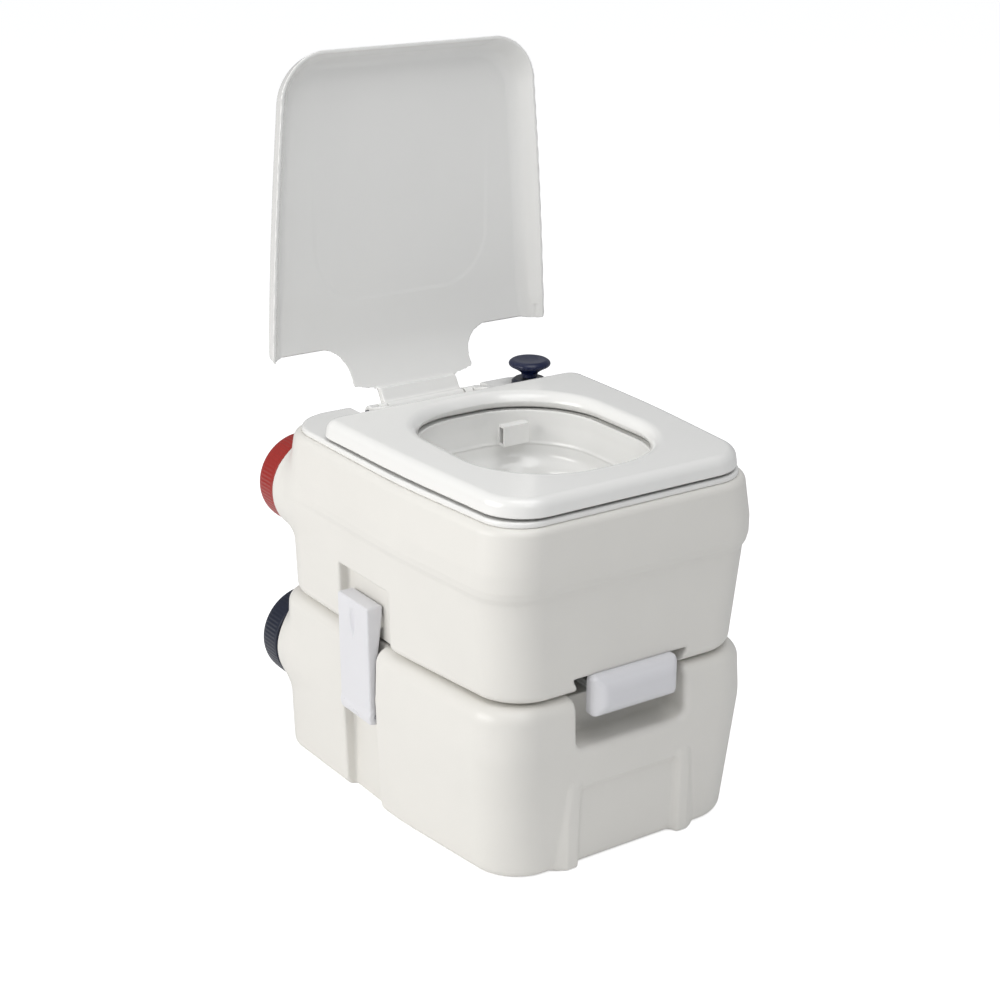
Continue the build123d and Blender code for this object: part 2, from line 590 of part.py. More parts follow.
def make_flush_tank():
    """Blown tank round the bowl, with latch pockets, handle notch, fill neck and pump hole."""
    outside = form(FLUSH_LEVELS) + neck_outside(FILL_CAP_Z, FILL_CAP_R, FILL_SHOULDER_R)
    outside -= latch_pocket() + handle_notch() + hinge_trough()
    inside = hollow(FLUSH_LEVELS, WALL)
    inside -= latch_pocket(WALL) + handle_notch(WALL) + hinge_trough(WALL)
    inside += neck_inside(FILL_CAP_Z, FILL_CAP_R, FILL_SHOULDER_R)
    inside -= bowl_form(BOWL_WALL + CLEAR + WALL)
    tank = outside - inside - bowl_form(BOWL_WALL + CLEAR)
    tank -= disc(PUMP_X, PUMP_Y, DECK_BOTTOM - 2 * WALL, DECK_TOP, BARREL_OUT_R + CLEAR)
    tank -= rod_y(NOZZLE_X, NOZZLE_Z, BOWL_REAR_Y - 40, BOWL_REAR_Y + 25, HOSE_R + CLEAR)
    for x, y in POST_SCREW_SPOTS:
        tank -= both_sides(disc(x, y, TROUGH_Z - WALL - 1, TROUGH_Z + 1, POST_SCREW_R + FIT))
    return tank + both_sides(make_ledge())


def make_deck():
    """Top plate over the flush tank, with the bowl opening, hinge trough and pump hole."""
    deck = form(DECK_LEVELS) - oval_prism(BOWL_WALL + CLEAR, DECK_BOTTOM - 1, DECK_TOP + 1)
    deck -= hinge_trough()
    return deck - disc(PUMP_X, PUMP_Y, DECK_BOTTOM - 1, DECK_TOP + 1, BARREL_OUT_R + CLEAR)


def make_bowl():
    """Gloss bowl with a flange on the deck and an outlet spigot down to the valve."""
    flange = oval_prism(BOWL_FLANGE, DECK_TOP, DECK_TOP + BOWL_FLANGE_THICKNESS)
    bowl = bowl_form(BOWL_WALL) + flange
    bowl -= box(-W, W, FRONT_Y, REAR_Y, B - 20, B)
    bowl -= bowl_form() + oval_prism(0, DECK_TOP - 1, DECK_TOP + 10)
    return bowl - rod_y(NOZZLE_X, NOZZLE_Z, BOWL_REAR_Y - 40, BOWL_REAR_Y + 25, HOSE_R + FIT)


def make_seat():
    """Seat ring with rounded edges, hollow underneath, and two hinge lugs."""
    corner = {"r_rear": SEAT_REAR_CORNER}
    ring = form(SEAT_LEVELS, **corner)
    ceiling = level_at(SEAT_LEVELS, SEAT_TOP - SEAT_WALL)
    hollow_under = form([SEAT_LEVELS[0], ceiling], SEAT_WALL, **corner)
    hollow_under -= oval_prism(SEAT_WALL - SEAT_LAP, SEAT_BOTTOM - 1, SEAT_TOP)
    ring -= hollow_under + oval_prism(-SEAT_LAP, SEAT_BOTTOM - 1, SEAT_TOP + 1)
    y, z, r = HINGE_Y, HINGE_Z, HINGE_BARREL_R
    back = SEAT_REAR_Y - SEAT_WALL
    arm = [(back, SEAT_BOTTOM + 1), (back, SEAT_TOP - 6), (SEAT_REAR_Y + 10, SEAT_TOP - 8),
           (y + 0.6 * r, z + 0.75 * r), (y, z), (y - r, z + 1),
           (TROUGH_FRONT_Y + 4, DECK_TOP + 2), (SEAT_REAR_Y + 14, SEAT_BOTTOM + 1)]
    end = SEAT_LUG_X + SEAT_LUG_WIDTH
    lug = prism_x(arm, SEAT_LUG_X, end) + rod_x(y, z, SEAT_LUG_X, end, r)
    reach = hypot(y - PUMP_Y + KNOB_R, KNOB_TOP - KNOB_HEIGHT / 2 - z) + KNOB_SWING_GAP
    swing = rod_x(y, z, PUMP_X - KNOB_R - KNOB_SWING_GAP, W, reach)
    seat = ring - swing + both_sides(lug)
    return seat - both_sides(rod_x(y, z, SEAT_LUG_X - 1, end + 1, HINGE_PIN_R + FIT))


def make_hinge_post():
    """Right hinge post: a foot in the trough and an eye that holds the pin."""
    r = HINGE_BARREL_R
    foot = box(POST_X, POST_END_X, HINGE_Y - 15.5, HINGE_Y + 24, TROUGH_Z, TROUGH_Z + POST_FOOT)
    web = box(POST_X, POST_END_X, HINGE_Y - r, HINGE_Y + r, TROUGH_Z, HINGE_Z)
    post = foot + web + rod_x(HINGE_Y, HINGE_Z, POST_X, POST_END_X, r)
    post -= rod_x(HINGE_Y, HINGE_Z, POST_X - 1, POST_END_X + 1, HINGE_PIN_R + FIT / 2)
    for x, y in POST_SCREW_SPOTS:
        post -= disc(x, y, TROUGH_Z - 1, TROUGH_Z + POST_FOOT + 1, POST_SCREW_R + FIT)
    return post


def make_lid_closed():
    """Lid drawn closed: a shallow tray with sloping sides and a tongue back to the hinge."""
    rim = (LID_RIM_Z, LID_FRONT_HALF, LID_MID_HALF, LID_REAR_HALF, LID_FRONT_Y, LID_REAR_Y)
    shoulder = (LID_RIM_Z + LID_HEIGHT - 6, LID_FRONT_HALF - LID_INSET + 4, LID_MID_HALF - LID_INSET + 4,
                LID_REAR_HALF - LID_INSET + 4, LID_FRONT_Y + LID_INSET - 4, LID_REAR_Y - 4)
    top = (LID_RIM_Z + LID_HEIGHT, LID_FRONT_HALF - LID_INSET, LID_MID_HALF - LID_INSET,
           LID_REAR_HALF - LID_INSET, LID_FRONT_Y + LID_INSET, LID_REAR_Y - 8)
    levels = [rim, shoulder, top]
    corners = {"r_front": LID_CORNER, "r_rear": 12.0}
    tray = form(levels, **corners)
    inside = [rim, level_at(levels, LID_RIM_Z + LID_HEIGHT - LID_WALL)]
    tray -= form(inside, LID_WALL, **corners)
    y, z, r, t = HINGE_Y, HINGE_Z, HINGE_BARREL_R, TONGUE_THICKNESS
    top_z = LID_RIM_Z + LID_HEIGHT - LID_WALL
    half = TONGUE_HALF_WIDTH
    tongue = [(LID_REAR_Y - 14, top_z - t + 3), (LID_REAR_Y - 14, top_z + 3), (LID_REAR_Y + 12, top_z),
              (y - 12, z + 26), (y + 1, z + r), (y - r, z + 1), (y - 19, z + 22), (LID_REAR_Y + 9, top_z - t)]
    reach = LID_KNUCKLE_X + LID_KNUCKLE_WIDTH
    lower = prism_x(tongue, -reach, reach)
    upper = prism_x(tongue, -half, half) - box(-2 * half, 2 * half, y - 34, y + 20, 0, 500)
    knuckle = rod_x(y, z, LID_KNUCKLE_X, reach, r)
    lid = tray + lower + upper + both_sides(knuckle)
    lid -= form(raised(SEAT_LEVELS, LID_SEAT_GAP), -LID_SEAT_GAP, r_rear=SEAT_REAR_CORNER)
    return lid - rod_x(y, z, -PIN_X1, PIN_X1, HINGE_PIN_R + FIT)


def make_lid():
    """Lid turned up about the hinge into its open position."""
    return make_lid_closed().rotate(Axis((0, HINGE_Y, HINGE_Z), (1, 0, 0)), -90)


def make_post_screws():
    """Screws through the feet of the hinge posts."""
    screws = []
    z = TROUGH_Z + POST_FOOT
    for side in (-1, 1):
        for x, y in POST_SCREW_SPOTS:
            shaft = disc(side * x, y, TROUGH_Z - WALL, z, POST_SCREW_R)
            screws.append((shaft + disc(side * x, y, z, z + POST_SCREW_HEAD, POST_SCREW_HEAD_R)).solid())
    return Compound(children=screws)


# ---------------------------------------------------------------- flush pump
def pump_disc(z0, z1, radius):
    """Upright cylinder on the pump's axis."""
    return disc(PUMP_X, PUMP_Y, z0, z1, radius)


def make_pump_barrel():
    """Tube from the deck down into the flush tank, with a foot valve seat and a side outlet."""
    tube = pump_disc(BARREL_BOTTOM, DECK_TOP, BARREL_OUT_R)
    tube -= pump_disc(BARREL_BOTTOM + 4, DECK_TOP + 1, BARREL_R)
    tube -= pump_disc(BARREL_BOTTOM - 1, BARREL_BOTTOM + 5, 5.0)
    stub_x = PUMP_X - BARREL_OUT_R
    tube += rod_x(PUMP_Y, PUMP_OUTLET_Z, stub_x - 10, stub_x + 1, HOSE_BORE_R - FIT)
    return tube - rod_x(PUMP_Y, PUMP_OUTLET_Z, stub_x - 12, stub_x + 4, NOZZLE_BORE_R)


def make_pump_collar():
    """Guide collar over the pump hole, with a spigot inside the barrel."""
    collar = pump_disc(DECK_TOP, DECK_TOP + COLLAR_RISE, COLLAR_R)
    collar = chamfer(collar.edges().sort_by(Axis.Z)[-1], 3)
    collar += pump_disc(DECK_TOP - 8, DECK_TOP, BARREL_R - FIT)
    return collar - pump_disc(DECK_TOP - 9, DECK_TOP + COLLAR_RISE + 1, PUMP_ROD_R + FIT)


def make_pump_knob():
    """Flat round knob on a short neck."""
    low = DECK_TOP + COLLAR_RISE + 1.0
    rim_z = KNOB_TOP - KNOB_HEIGHT / 2
    profile = Polyline((PUMP_ROD_R, low), (KNOB_NECK_R, low), (KNOB_NECK_R, low + 4),
                       (KNOB_R - 1.5, rim_z - 2.5), (KNOB_R, rim_z), (KNOB_R - 1.5, rim_z + 2.5),
                       (KNOB_R - 6, KNOB_TOP), (0, KNOB_TOP),
                       (0, KNOB_TOP - 4), (PUMP_ROD_R, KNOB_TOP - 4), close=True)
    return Pos(PUMP_X, PUMP_Y, 0) * revolve(Plane.XZ * make_face(profile), Axis.Z)


def make_pump_rod():
    """Rod from the knob to the piston."""
    return pump_disc(PISTON_Z + 3, KNOB_TOP - 4, PUMP_ROD_R)


def make_pump_piston():
    """Piston with a groove for its ring and a blind socket for the rod."""
    top = PISTON_Z + PISTON_HEIGHT
    mid = PISTON_Z + PISTON_HEIGHT / 2
    piston = pump_disc(PISTON_Z, top, BARREL_R - PISTON_GAP)
    groove = pump_disc(mid - PISTON_RING_WIDTH / 2, mid + PISTON_RING_WIDTH / 2, BARREL_R)
    groove -= pump_disc(mid - PISTON_RING_WIDTH, mid + PISTON_RING_WIDTH, BARREL_R - 3)
    return piston - groove - pump_disc(PISTON_Z + 3, top + 1, PUMP_ROD_R)


def make_piston_ring():
    """Rubber ring in the piston's groove."""
    mid = PISTON_Z + PISTON_HEIGHT / 2
    ring = pump_disc(mid - PISTON_RING_WIDTH / 2, mid + PISTON_RING_WIDTH / 2, BARREL_R - FIT)
    return ring - pump_disc(mid - PISTON_RING_WIDTH, mid + PISTON_RING_WIDTH, BARREL_R - 3)


def make_foot_valve():
    """Rubber flap disc on the barrel's floor."""
    return pump_disc(BARREL_BOTTOM + 4, BARREL_BOTTOM + 6, BARREL_R - 2)


def make_strainer():
    """Slotted cup under the barrel that keeps dirt out of the pump."""
    low = BARREL_BOTTOM - STRAINER_HEIGHT
    cup = pump_disc(low, BARREL_BOTTOM + 10, STRAINER_R) - pump_disc(low + 2, BARREL_BOTTOM, STRAINER_R - 2)
    cup -= pump_disc(BARREL_BOTTOM - 1, BARREL_BOTTOM + 11, BARREL_OUT_R + FIT)
    for i in range(STRAINER_SLOTS):
        slot = box(STRAINER_R - 4, STRAINER_R + 2, -1.2, 1.2, low + 3, BARREL_BOTTOM - 3)
        cup -= Pos(PUMP_X, PUMP_Y, 0) * Rot(0, 0, i * 360 / STRAINER_SLOTS) * slot
    return cup


def make_hose():
    """Flush hose from the pump's side outlet to the nozzle behind the bowl."""
    start = (PUMP_X - BARREL_OUT_R - CLEAR, PUMP_Y, PUMP_OUTLET_Z)
    end = (NOZZLE_X, HOSE_END_Y, NOZZLE_Z)
    points = [start, (start[0] - 34, PUMP_Y, PUMP_OUTLET_Z), (NOZZLE_X, PUMP_Y - 6, NOZZLE_Z), end]
    path = FilletPolyline(*points, radius=[16, 16])
    tube = sweep(Plane(origin=start, z_dir=(-1, 0, 0)) * Circle(HOSE_R), path=path)
    return tube - sweep(Plane(origin=start, z_dir=(-1, 0, 0)) * Circle(HOSE_BORE_R), path=path)


def make_nozzle():
    """Flush nozzle: a stub for the hose through the bowl's wall, and a deflector inside the bowl."""
    back = BOWL_REAR_Y - HOOD_SETBACK
    front = back - HOOD_DEPTH
    t = 2.0
    stub = rod_y(NOZZLE_X, NOZZLE_Z, back - 1, HOSE_END_Y, HOSE_R)
    stub += rod_y(NOZZLE_X, NOZZLE_Z, HOSE_END_Y - 1, HOSE_END_Y + 8, HOSE_BORE_R - FIT)
    low, high = NOZZLE_Z - 8, NOZZLE_Z + 14
    x0, x1 = NOZZLE_X - 20, NOZZLE_X + 12
    hood = box(x0, x1, front, back, low, high)
    hood -= box(x0 - 1, x1 - t, front + t, back - t, low + t, high - t)
    return stub + hood - rod_y(NOZZLE_X, NOZZLE_Z, back - t - 1, HOSE_END_Y + 9, NOZZLE_BORE_R)


# ---------------------------------------------------------------- write every node
left_latch = make_latch()
left_latch_pin = latch_pin(LATCH_PIN_R)
right_post = make_hinge_post()
right_hinge_pin = rod_x(HINGE_Y, HINGE_Z, PIN_X0, PIN_X1, HINGE_PIN_R)
put("waste_tank", make_waste_tank())
put("valve_body", make_valve_body())
put("valve_blade_seal", make_blade_seal())
put("valve_lip_seal", make_lip_seal())
put("valve_clamp_ring", make_clamp_ring())
put("valve_screws", make_valve_screws())
put("valve_blade", make_valve_blade())
put("valve_handle", make_valve_handle())
put("latch_left", left_latch)
put("latch_right", mirror(left_latch, about=Plane.YZ))
put("latch_pin_left", left_latch_pin)
put("latch_pin_right", mirror(left_latch_pin, about=Plane.YZ))
put("waste_cap", make_cap(WASTE_CAP_Z, WASTE_CAP_R))
put("waste_cap_gasket", make_gasket(WASTE_CAP_Z, WASTE_CAP_R))
put("flush_tank", make_flush_tank())
put("fill_cap", make_cap(FILL_CAP_Z, FILL_CAP_R))
put("fill_cap_gasket", make_gasket(FILL_CAP_Z, FILL_CAP_R))
put("deck", make_deck())
put("bowl", make_bowl())
put("seat", make_seat())
put("lid", make_lid())
put("hinge_post_right", right_post)
put("hinge_post_left", mirror(right_post, about=Plane.YZ))
put("hinge_pin_right", right_hinge_pin)
put("hinge_pin_left", mirror(right_hinge_pin, about=Plane.YZ))
put("hinge_post_screws", make_post_screws())
put("pump_knob", make_pump_knob())
put("pump_rod", make_pump_rod())
put("pump_piston", make_pump_piston())
put("piston_ring", make_piston_ring())
put("pump_barrel", make_pump_barrel())
put("pump_collar", make_pump_collar())
put("pump_foot_valve", make_foot_valve())
put("pump_strainer", make_strainer())
put("flush_hose", make_hose())
put("flush_nozzle", make_nozzle())
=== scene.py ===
"""Portable camp toilet: soft blow-moulded tanks, gloss bowl, seat and lid, and the small pieces on them.

The moulded shells are built as distance fields in millimetres, round the places that the frame gives,
and are meshed at their zero level.
"""

import math

import bpy
import numpy as np
import openvdb
from bpy.props import FloatProperty, FloatVectorProperty, PointerProperty
from mathutils import Matrix, Vector


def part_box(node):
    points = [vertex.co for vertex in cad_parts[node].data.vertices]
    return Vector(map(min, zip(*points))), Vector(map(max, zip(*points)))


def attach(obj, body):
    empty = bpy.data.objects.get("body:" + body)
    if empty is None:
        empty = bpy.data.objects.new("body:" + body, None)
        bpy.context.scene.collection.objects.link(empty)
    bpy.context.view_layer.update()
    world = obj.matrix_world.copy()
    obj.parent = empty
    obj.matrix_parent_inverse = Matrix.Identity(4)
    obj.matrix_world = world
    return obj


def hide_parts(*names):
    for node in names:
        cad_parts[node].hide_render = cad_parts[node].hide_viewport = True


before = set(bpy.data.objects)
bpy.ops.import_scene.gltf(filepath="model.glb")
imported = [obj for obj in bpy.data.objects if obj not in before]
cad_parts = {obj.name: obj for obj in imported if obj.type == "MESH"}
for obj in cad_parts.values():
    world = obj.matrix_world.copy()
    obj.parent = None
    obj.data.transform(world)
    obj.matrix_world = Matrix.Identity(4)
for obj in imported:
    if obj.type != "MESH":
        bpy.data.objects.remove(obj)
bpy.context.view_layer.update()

bl_info = {
    "name": "Camp toilet",
    "version": (1, 0, 0),
    "blender": (4, 5, 0),
    "location": "View3D > Sidebar > Camp toilet",
    "description": "Builds the moulded pieces of a portable camp toilet round its frame",
    "category": "Object",
}


# ---------------------------------------------------------------- places that the frame gives
def low_high(node):
    """A frame node's lowest and highest corners, in millimetres."""
    low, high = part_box(node)
    return np.array(low) * 1000, np.array(high) * 1000


DECK_LOW, DECK_HIGH = low_high("deck")
FLUSH_LOW = low_high("flush_tank")[0]
SEAT_LOW, SEAT_HIGH = low_high("seat")
BOWL_LOW, BOWL_HIGH = low_high("bowl")
LID_LOW, LID_HIGH = low_high("lid")
HANDLE_LOW, HANDLE_HIGH = low_high("valve_handle")
LATCH_LOW, LATCH_HIGH = low_high("latch_left")
LATCH_PIN_LOW, LATCH_PIN_HIGH = low_high("latch_pin_left")
PIN_LOW, PIN_HIGH = low_high("hinge_pin_right")
KNOB_LOW, KNOB_HIGH = low_high("pump_knob")
COLLAR_LOW, COLLAR_HIGH = low_high("pump_collar")
BODY_LOW, BODY_HIGH = low_high("valve_body")
BLADE_LOW, BLADE_HIGH = low_high("valve_blade")
SEAL_LOW, SEAL_HIGH = low_high("valve_lip_seal")
POST_LOW = low_high("hinge_post_right")[0]
TANK_TOP = BODY_HIGH[2]
FLUSH_BASE = FLUSH_LOW[2]
DECK_TOP = DECK_HIGH[2]
HINGE_Y = (PIN_LOW[1] + PIN_HIGH[1]) / 2
HINGE_Z = (PIN_LOW[2] + PIN_HIGH[2]) / 2
OUTLET_Y = (SEAL_LOW[1] + SEAL_HIGH[1]) / 2
FRONT_Y = FLUSH_LOW[1]
DECK_STEP = 7  # the tanks' rear stands this far behind the deck node's, and the drawn deck's this far before it
DECK_REAR = DECK_HIGH[1] + DECK_STEP
FLARE_Y = -30.0  # where the flared plans bend
TROUGH_HALF = 84  # half-width of the hinge trough
BARREL_HOLE_R = 16.0  # hole for the pump's barrel
PIN_HOLE_R = 3.05  # hole in the seat's and the lid's eyes for the hinge pins
KNUCKLE_HALF = 48.8  # half-width of the lid's hinge barrel
CAP_RIBS = 72
FLOOR_GLOW = 0.65
SKY_STRENGTH = 0.37
BACKDROP_STRENGTH = 1.1
CAMERA_SPOT = (-1.1255, -1.6047, 1.0446)  # metres
CAMERA_TURN = (34.56, 20.44, 0.50)  # yaw, pitch and roll, in degrees
CAMERA_LENS = 72.69


# ---------------------------------------------------------------- sizes and colours a user may change
def length(name, text, value):
    """A length property, stored in metres."""
    metres = value / 1000
    return FloatProperty(name=name, description=text, default=metres, min=0.0, precision=4, unit="LENGTH")


def colour(name, text, value):
    """A colour property."""
    return FloatVectorProperty(name=name, description=text, default=value, min=0.0, max=1.0, subtype="COLOR")


class CAMPTOILET_tank_sizes(bpy.types.PropertyGroup):
    half_width: length("Half width", "Half the width of the tanks at their middle", 172.0)
    front_corner: length("Front corner", "Radius of the upright front corners", 46.0)
    rear_corner: length("Rear corner", "Radius of the upright rear corners", 34.0)
    top_rear_corner: length("Upper rear corner", "Radius of the flush tank's rear corners", 54.0)
    top_edge: length("Top edge", "Radius of the waste tank's top edge", 15.0)
    base_edge: length("Base edge", "Radius of the tanks' bottom edges", 10.0)
    waist: length("Waist", "Height of the step round the flush tank", 303.0)
    recess: length("Recess", "Half-width of the handle's recess", 67.0)


class CAMPTOILET_top_sizes(bpy.types.PropertyGroup):
    seat_edge: length("Seat edge", "Radius of the seat's outer top edge", 9.0)
    seat_lip: length("Seat lip", "Radius of the seat's inner top edge", 14.0)
    bowl_wall: length("Bowl wall", "Thickness of the bowl", 3.0)
    lid_wall: length("Lid wall", "Thickness of the lid", 3.4)
    lid_slope: length("Lid slope", "How far the lid's sides lean in", 7.0)
    lid_corner: length("Lid corner", "Radius of the lid's front corners", 48.0)
    tongue: length("Tongue", "Half-width of the lid's tongue", 78.0)


class CAMPTOILET_hardware_sizes(bpy.types.PropertyGroup):
    handle_edge: length("Handle edge", "Radius of the pull handle's edges", 6.0)
    latch_edge: length("Latch edge", "Radius of the latches' edges", 2.4)
    cap_edge: length("Cap edge", "Radius of the caps' rear edge", 4.0)
    cap_rib: length("Cap rib", "Height of the ribs round the caps", 0.45)


class CAMPTOILET_colours(bpy.types.PropertyGroup):
    tank: colour("Tank", "Blow-moulded tanks", (0.80, 0.785, 0.745))
    gloss: colour("Gloss", "Seat, lid, deck and bowl", (0.88, 0.878, 0.86))
    latch: colour("Latch", "Latches and pull handle", (0.76, 0.76, 0.79))
    fill_cap: colour("Fill cap", "Cap of the flush tank", (0.33, 0.016, 0.010))
    waste_cap: colour("Waste cap", "Cap of the waste tank", (0.005, 0.009, 0.026))
    knob: colour("Knob", "The pump's knob and its collar", (0.004, 0.009, 0.045))
    valve: colour("Valve", "Valve housing", (0.045, 0.048, 0.052))
    pale: colour("Pale parts", "Pump, blade and hose", (0.55, 0.57, 0.57))
    rubber: colour("Rubber", "Seals and gaskets", (0.018, 0.018, 0.018))
    steel: colour("Steel", "Pins and screws", (0.55, 0.55, 0.56))
    floor: colour("Floor", "Studio floor", (0.93, 0.93, 0.93))


def sizes(group):
    """The lengths of a property group, in millimetres, by name."""
    props = getattr(bpy.context.scene, group)
    keys = [key for key in props.bl_rna.properties.keys() if key not in ("rna_type", "name")]
    return {key: getattr(props, key) * 1000 for key in keys}


# ---------------------------------------------------------------- distance fields
def clip_round(a, b, radius):
    """Where both fields are inside, with the edge between them rounded."""
    u = np.maximum(a + radius, 0.0)
    v = np.maximum(b + radius, 0.0)
    return np.minimum(-radius, np.maximum(a, b)) + np.sqrt(u * u + v * v)


def weld(a, b, radius):
    """Where either field is inside, with a fillet between them."""
    return -clip_round(-a, -b, radius)


def cut(a, b, radius):
    """The first field less the second, with the new edge rounded."""
    return clip_round(a, -b, radius)


def soft_max(a, b, reach):
    """Larger of two fields that cross at a small angle, eased over the given reach."""
    ease = np.maximum(reach - np.abs(a - b), 0.0) / reach
    return np.maximum(a, b) + ease * ease * reach / 4


def block(x, y, z, low, high, radius):
    """Rounded block between two corners."""
    qx = np.abs(x - (low[0] + high[0]) / 2) - (high[0] - low[0]) / 2 + radius
    qy = np.abs(y - (low[1] + high[1]) / 2) - (high[1] - low[1]) / 2 + radius
    qz = np.abs(z - (low[2] + high[2]) / 2) - (high[2] - low[2]) / 2 + radius
    outside = np.sqrt(np.maximum(qx, 0) ** 2 + np.maximum(qy, 0) ** 2 + np.maximum(qz, 0) ** 2)
    return outside + np.minimum(np.maximum(np.maximum(qx, qy), qz), 0.0) - radius


def pipe(a, b, centre_a, centre_b, radius):
    """Endless cylinder across the plane of a and b."""
    return np.hypot(a - centre_a, b - centre_b) - radius


def between(t, low, high):
    """Slab between two planes."""
    return np.maximum(low - t, t - high)


def profile(points, softness):
    """A value that follows the given (place, value) points, eased with a Gaussian of the given width."""
    places, values = zip(*points)
    fine = np.arange(places[0] - 40, places[-1] + 40, 0.5)
    raw = np.interp(fine, places, values)
    span = max(1, int(3 * softness / 0.5))
    bell = np.exp(-0.5 * (np.arange(-span, span + 1) * 0.5 / softness) ** 2)
    padded = np.concatenate([np.full(span, raw[0]), raw, np.full(span, raw[-1])])
    eased = np.convolve(padded, bell / bell.sum(), "valid")
    return lambda t: np.interp(t, fine, eased)


def rounded_rectangle(x, y, half_x, low_y, high_y, radius):
    """Plan of an oval: a rectangle with large corner radii. Sizes may change with height."""
    half_y = (high_y - low_y) / 2
    qx = np.abs(x) - half_x + radius
    qy = np.abs(y - (low_y + high_y) / 2) - half_y + radius
    return np.hypot(np.maximum(qx, 0), np.maximum(qy, 0)) + np.minimum(np.maximum(qx, qy), 0) - radius


def flared_side(x, y, halves, ends):
    """Distance from the long sides of a flared plan."""
    front, middle, rear = halves
    low_y, high_y = ends
    ax = np.abs(x)
    flare = (middle - front) / (FLARE_Y - low_y)
    run = (rear - middle) / (high_y - FLARE_Y)
    side_a = (ax - middle - flare * (y - FLARE_Y)) / np.sqrt(1 + flare * flare)
    side_b = (ax - middle - run * (y - FLARE_Y)) / np.sqrt(1 + run * run)
    return soft_max(side_a, side_b, 3.0)


def flared_plan(x, y, halves, ends, front_corner, rear_corner):
    """Plan that is narrow in front, flares out to its middle and runs back nearly straight."""
    shape = clip_round(flared_side(x, y, halves, ends), ends[0] - y, front_corner)
    return clip_round(shape, y - ends[1], rear_corner)



# ---------------------------------------------------------------- fields to meshes
def slopes(field, points):
    """Gradient of a field at an array of points."""
    h = 0.04
    x, y, z = points.T
    gx = field(x + h, y, z) - field(x - h, y, z)
    gy = field(x, y + h, z) - field(x, y - h, z)
    gz = field(x, y, z + h) - field(x, y, z - h)
    return np.stack([gx, gy, gz], 1) / (2 * h)


def surface(name, field, low, high, step):
    """Mesh of a field's zero level within a box, with its vertices and normals taken from the field."""
    low = np.asarray(low, float) - 2.5 * step
    high = np.asarray(high, float) + 2.5 * step
    counts = np.ceil((high - low) / step).astype(int) + 1
    x, y, z = [low[i] + step * np.arange(counts[i]) for i in range(3)]
    values = field(x[:, None, None], y[None, :, None], z[None, None, :])
    reach = 3 * step
    values = np.clip(np.broadcast_to(values, counts), -reach, reach).astype(np.float32)
    grid = openvdb.FloatGrid(reach)
    grid.copyFromArray(np.ascontiguousarray(values))
    points, quads = grid.convertToQuads(0.0)
    points = low + np.asarray(points, float) * step
    for _ in range(3):
        slope = slopes(field, points)
        steep = np.maximum((slope * slope).sum(1), 0.05)
        move = field(*points.T) / steep
        points -= slope * np.clip(move, -step, step)[:, None]
    slope = slopes(field, points)
    normals = slope / np.maximum(np.linalg.norm(slope, axis=1), 1e-9)[:, None]
    return mesh_object(name, points, np.asarray(quads), normals)


def mesh_object(name, points, quads, normals):
    """Object from points in millimetres and quads, turned so that its faces look outwards."""
    a, b, c = points[quads[:, 0]], points[quads[:, 1]], points[quads[:, 2]]
    facing = (np.cross(b - a, c - a) * normals[quads[:, 0]]).sum()
    if facing < 0:
        quads = quads[:, ::-1]
    mesh = bpy.data.meshes.new(name)
    mesh.vertices.add(len(points))
    mesh.vertices.foreach_set("co", (points / 1000).astype(np.float32).ravel())
    mesh.loops.add(quads.size)
    mesh.loops.foreach_set("vertex_index", np.ascontiguousarray(quads, np.int32).ravel())
    mesh.polygons.add(len(quads))
    mesh.polygons.foreach_set("loop_start", np.arange(0, quads.size, 4, dtype=np.int32))
    mesh.update(calc_edges=True)
    mesh.validate()
    mesh.polygons.foreach_set("use_smooth", np.ones(len(mesh.polygons), bool))
    mesh.normals_split_custom_set_from_vertices(normals.astype(np.float32))
    piece = bpy.data.objects.new(name, mesh)
    bpy.context.scene.collection.objects.link(piece)
    return piece


def place(piece, body, nodes, material):
    """Give a piece its body, the nodes it stands for and its material."""
    piece.data.materials.append(material)
    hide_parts(*nodes)
    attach(piece, body)


# ---------------------------------------------------------------- tanks
def tank_form(x, y, z, outline, low_z, high_z, s, top_edge, rear_corner):
    """Blown tank: a flared plan whose size follows the height, with rounded top and bottom edges."""
    front, middle, rear, front_y, rear_y = [curve(z) for curve in outline]
    plan = flared_plan(x, y, (front, middle, rear), (front_y, rear_y), s["front_corner"], rear_corner)
    form = clip_round(plan, z - high_z, top_edge)
    return clip_round(form, low_z - z, s["base_edge"])


def outline_of(levels, softness):
    """Five eased profiles from a list of (height, front half, middle half, rear half, front, rear)."""
    return [profile([(level[0], level[i]) for level in levels], softness) for i in range(1, 6)]


def neck(x, y, z, cap_node, gasket_node):
    """Shoulder round a screw neck, and the neck itself, from the cap that fits over it."""
    low, high = low_high(cap_node)
    gasket_low, gasket_high = low_high(gasket_node)
    centre_x, centre_z = (low[0] + high[0]) / 2, (low[2] + high[2]) / 2
    away = np.hypot(x - centre_x, z - centre_z)
    shoulder_r = min((high[2] - low[2]) / 2 + 2.0, 52.0)
    levels = [(100, shoulder_r - 16), (150, shoulder_r - 5), (190, shoulder_r), (DECK_REAR, shoulder_r)]
    grow = profile(levels, 5)
    shoulder = clip_round(away - grow(y), y - DECK_REAR + 1, 5)
    shoulder = np.maximum(shoulder, 100 - y)
    outer_r = (gasket_high[2] - gasket_low[2]) / 2
    thread = 0.7 * np.cos(2 * math.pi * (y - low[1]) / 4.0 + np.arctan2(z - centre_z, x - centre_x))
    fits = np.where(between(y, DECK_REAR + 4, gasket_low[1] - 3) < 0, thread, 0.0) * 0.4
    tube = clip_round(away - outer_r - fits + 0.3, y - gasket_low[1], 1.2)
    tube = np.maximum(tube, DECK_REAR - 6 - y)
    bore = np.maximum(away - (outer_r - 5.0), 150 - y)
    return shoulder, tube, bore


